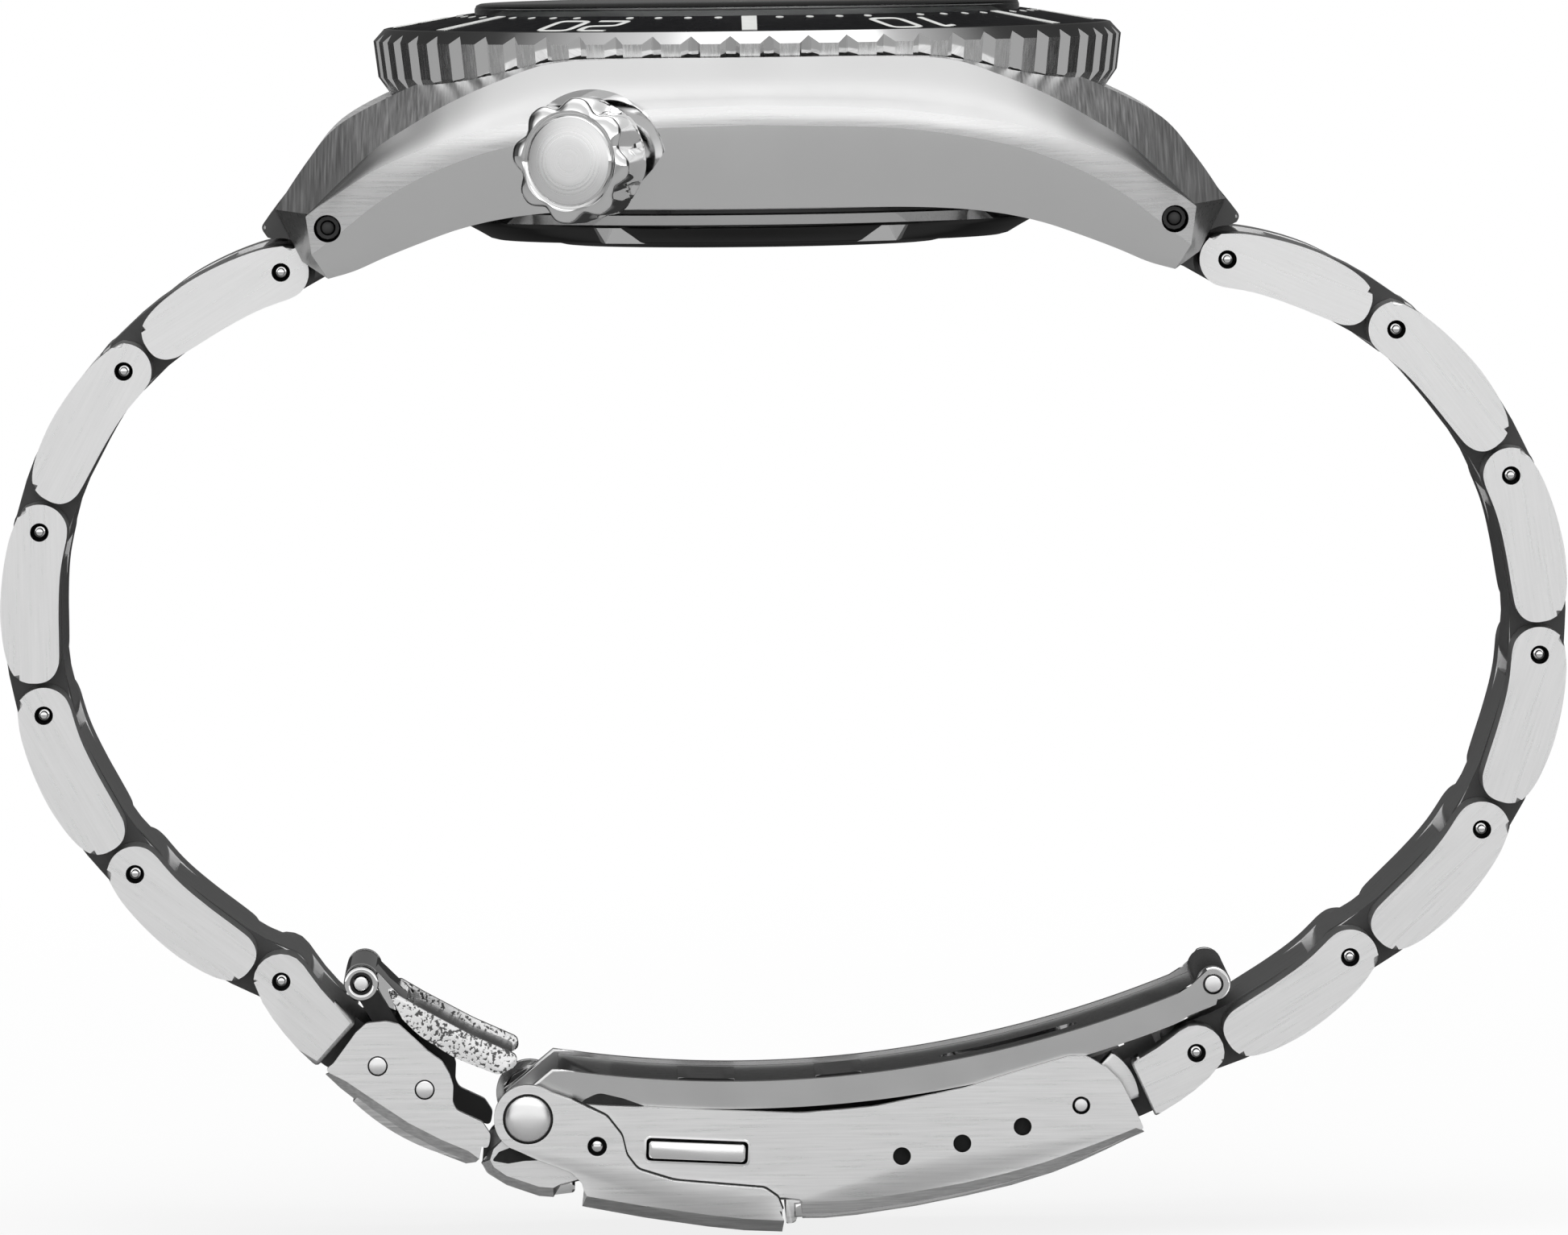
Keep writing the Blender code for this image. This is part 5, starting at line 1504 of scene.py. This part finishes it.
CAMERA_PLACE = Vector((-0.007, -1.01, 0.03))
CAMERA_AIM = Vector((0.0016, -0.01, -0.0206))
CAMERA_ROLL = radians(-0.66)
FRAME_WIDTH = 0.0871
SENSOR = 36.0
FLOOR_Z = -0.0556
WORLD_BANDS = (
    (0.0, 0.35), (0.33, 0.5), (0.42, 0.88), (0.475, 1.3), (0.5, 1.42), (0.535, 1.24), (0.6, 0.86),
    (0.75, 0.78),
    (0.93, 1.3), (1.0, 1.5),
)
SIDE_START, SIDE_END, SIDE_LEVEL = 0.76, 0.9, 0.07
BACK_START, BACK_END, BACK_LEVEL = -0.1, 0.35, 0.09
TOP_START, TOP_END = 0.72, 0.95


def maths(tree, operation, first, second=None):
    node = add_node(tree, "ShaderNodeMath", operation=operation)
    for socket, value in enumerate((first, second)):
        if isinstance(value, (int, float)):
            node.inputs[socket].default_value = value
        elif value is not None:
            tree.links.new(value, node.inputs[socket])
    return node.outputs["Value"]


def only_to_camera(tree, seen, other, output):
    """Shows one shader to the camera and the other to every other ray."""
    path = add_node(tree, "ShaderNodeLightPath")
    mix = add_node(tree, "ShaderNodeMixShader")
    tree.links.new(path.outputs["Is Camera Ray"], mix.inputs["Fac"])
    tree.links.new(other, mix.inputs[1])
    tree.links.new(seen, mix.inputs[2])
    tree.links.new(mix.outputs["Shader"], output.inputs["Surface"])


def world():
    """A soft room in bands of height, dark at its two ends, that the camera sees as plain white."""
    room = bpy.data.worlds.new("studio")
    bpy.context.scene.world = room
    room.use_nodes = True
    tree = room.node_tree
    tree.nodes.clear()
    place = add_node(tree, "ShaderNodeTexCoord")
    split = add_node(tree, "ShaderNodeSeparateXYZ")
    tree.links.new(place.outputs["Generated"], split.inputs["Vector"])
    height = map_range(tree, split.outputs["Z"], -1, 1, 0, 1)
    ramp = add_node(tree, "ShaderNodeValToRGB")
    elements = ramp.color_ramp.elements
    while len(elements) < len(WORLD_BANDS):
        elements.new(0.5)
    for element, (position, level) in zip(elements, WORLD_BANDS):
        element.position = position
        element.color = (level, level, level, 1)
    tree.links.new(height, ramp.inputs["Fac"])
    ends = map_range(tree, maths(tree, "ABSOLUTE", split.outputs["X"]), SIDE_START, SIDE_END, 1, SIDE_LEVEL)
    back = map_range(tree, split.outputs["Y"], BACK_START, BACK_END, 1, BACK_LEVEL)
    above = map_range(tree, split.outputs["Z"], TOP_START, TOP_END, 0, 1)
    level = maths(tree, "MAXIMUM", maths(tree, "MULTIPLY", ends, back), above)
    soft = add_node(tree, "ShaderNodeBackground")
    white = add_node(tree, "ShaderNodeBackground")
    white.inputs["Color"].default_value = (1, 1, 1, 1)
    tree.links.new(ramp.outputs["Color"], soft.inputs["Color"])
    tree.links.new(level, soft.inputs["Strength"])
    output = add_node(tree, "ShaderNodeOutputWorld")
    only_to_camera(tree, white.outputs["Background"], soft.outputs["Background"], output)


FLOOR_SIZE = 3.0
FLOOR_FADE = (0.06, 0.3)
FLOOR_DARKENS = (-0.02, 0.08, 0.42, 0.04)


def floor():
    """A pale floor that fades to white away from the watch and throws little light back."""
    mesh = bpy.data.meshes.new("floor")
    corners = [(x, y, FLOOR_Z) for x, y in oblong(FLOOR_SIZE, FLOOR_SIZE)]
    mesh.from_pydata(corners, [], [(0, 1, 2, 3)])
    sheet = new_object("floor", mesh)
    made = bpy.data.materials.new("pale_floor")
    made.use_nodes = True
    tree = made.node_tree
    tree.nodes.clear()
    dull = add_node(tree, "ShaderNodeBsdfDiffuse")
    pale = add_node(tree, "ShaderNodeBsdfDiffuse")
    pale.inputs["Color"].default_value = (0.9, 0.9, 0.9, 1)
    glow = add_node(tree, "ShaderNodeEmission")
    place = add_node(tree, "ShaderNodeTexCoord")
    split = add_node(tree, "ShaderNodeSeparateXYZ")
    tree.links.new(place.outputs["Object"], split.inputs["Vector"])
    tree.links.new(map_range(tree, split.outputs["Y"], *FLOOR_DARKENS), dull.inputs["Color"])
    distance = add_node(tree, "ShaderNodeVectorMath", operation="LENGTH")
    tree.links.new(place.outputs["Object"], distance.inputs[0])
    fade = map_range(tree, distance.outputs["Value"], *FLOOR_FADE, 0.85, 1.0)
    near = add_node(tree, "ShaderNodeMixShader")
    tree.links.new(fade, near.inputs["Fac"])
    tree.links.new(pale.outputs["BSDF"], near.inputs[1])
    tree.links.new(glow.outputs["Emission"], near.inputs[2])
    output = add_node(tree, "ShaderNodeOutputMaterial")
    only_to_camera(tree, near.outputs["Shader"], dull.outputs["BSDF"], output)
    mesh.materials.append(made)


LIGHT_PLACE, LIGHT_SIZE, LIGHT_POWER = Vector((0.1, -0.35, 0.75)), 0.7, 2.5


def lights():
    """One large soft light above and in front."""
    lamp = bpy.data.lights.new("key_above", "AREA")
    lamp.shape = "RECTANGLE"
    lamp.size = LIGHT_SIZE
    lamp.size_y = LIGHT_SIZE
    lamp.energy = LIGHT_POWER
    holder = new_object("key_above", lamp)
    holder.location = LIGHT_PLACE
    holder.rotation_euler = (-LIGHT_PLACE).to_track_quat("-Z", "Y").to_euler()


def camera():
    lens = bpy.data.cameras.new("photo_camera")
    holder = new_object("photo_camera", lens)
    bpy.context.scene.camera = holder
    view = CAMERA_AIM - CAMERA_PLACE
    lens.sensor_width = SENSOR
    lens.lens = SENSOR * view.length / FRAME_WIDTH
    lens.clip_start = 0.01
    turn = view.to_track_quat("-Z", "Y").to_matrix().to_4x4() @ Matrix.Rotation(CAMERA_ROLL, 4, "Z")
    holder.matrix_world = Matrix.Translation(CAMERA_PLACE) @ turn


def main():
    mid_case()
    bezel_ring()
    bezel_insert()
    crystal()
    dial_side()
    hands()
    crown()
    case_back()
    chain("6", -1, pin_at("hinge_6_7"), 2.5, 1.1)
    chain("12", 1, pin_at("hinge_12_8"), 3.5, 1.2)
    end_link("6", -1)
    end_link("12", 1)
    link_root()
    clasp_cover()
    lock_rivet()
    push_button("push_button_near", -1)
    push_button("push_button_far", 1)
    safety_lock()
    blade_long()
    blade_short()
    blade_pin()
    extension_end()
    extension_plate_1()
    extension_plate_2()
    inside()
    world()
    floor()
    lights()
    camera()
    bpy.context.scene.view_settings.view_transform = "Standard"


main()
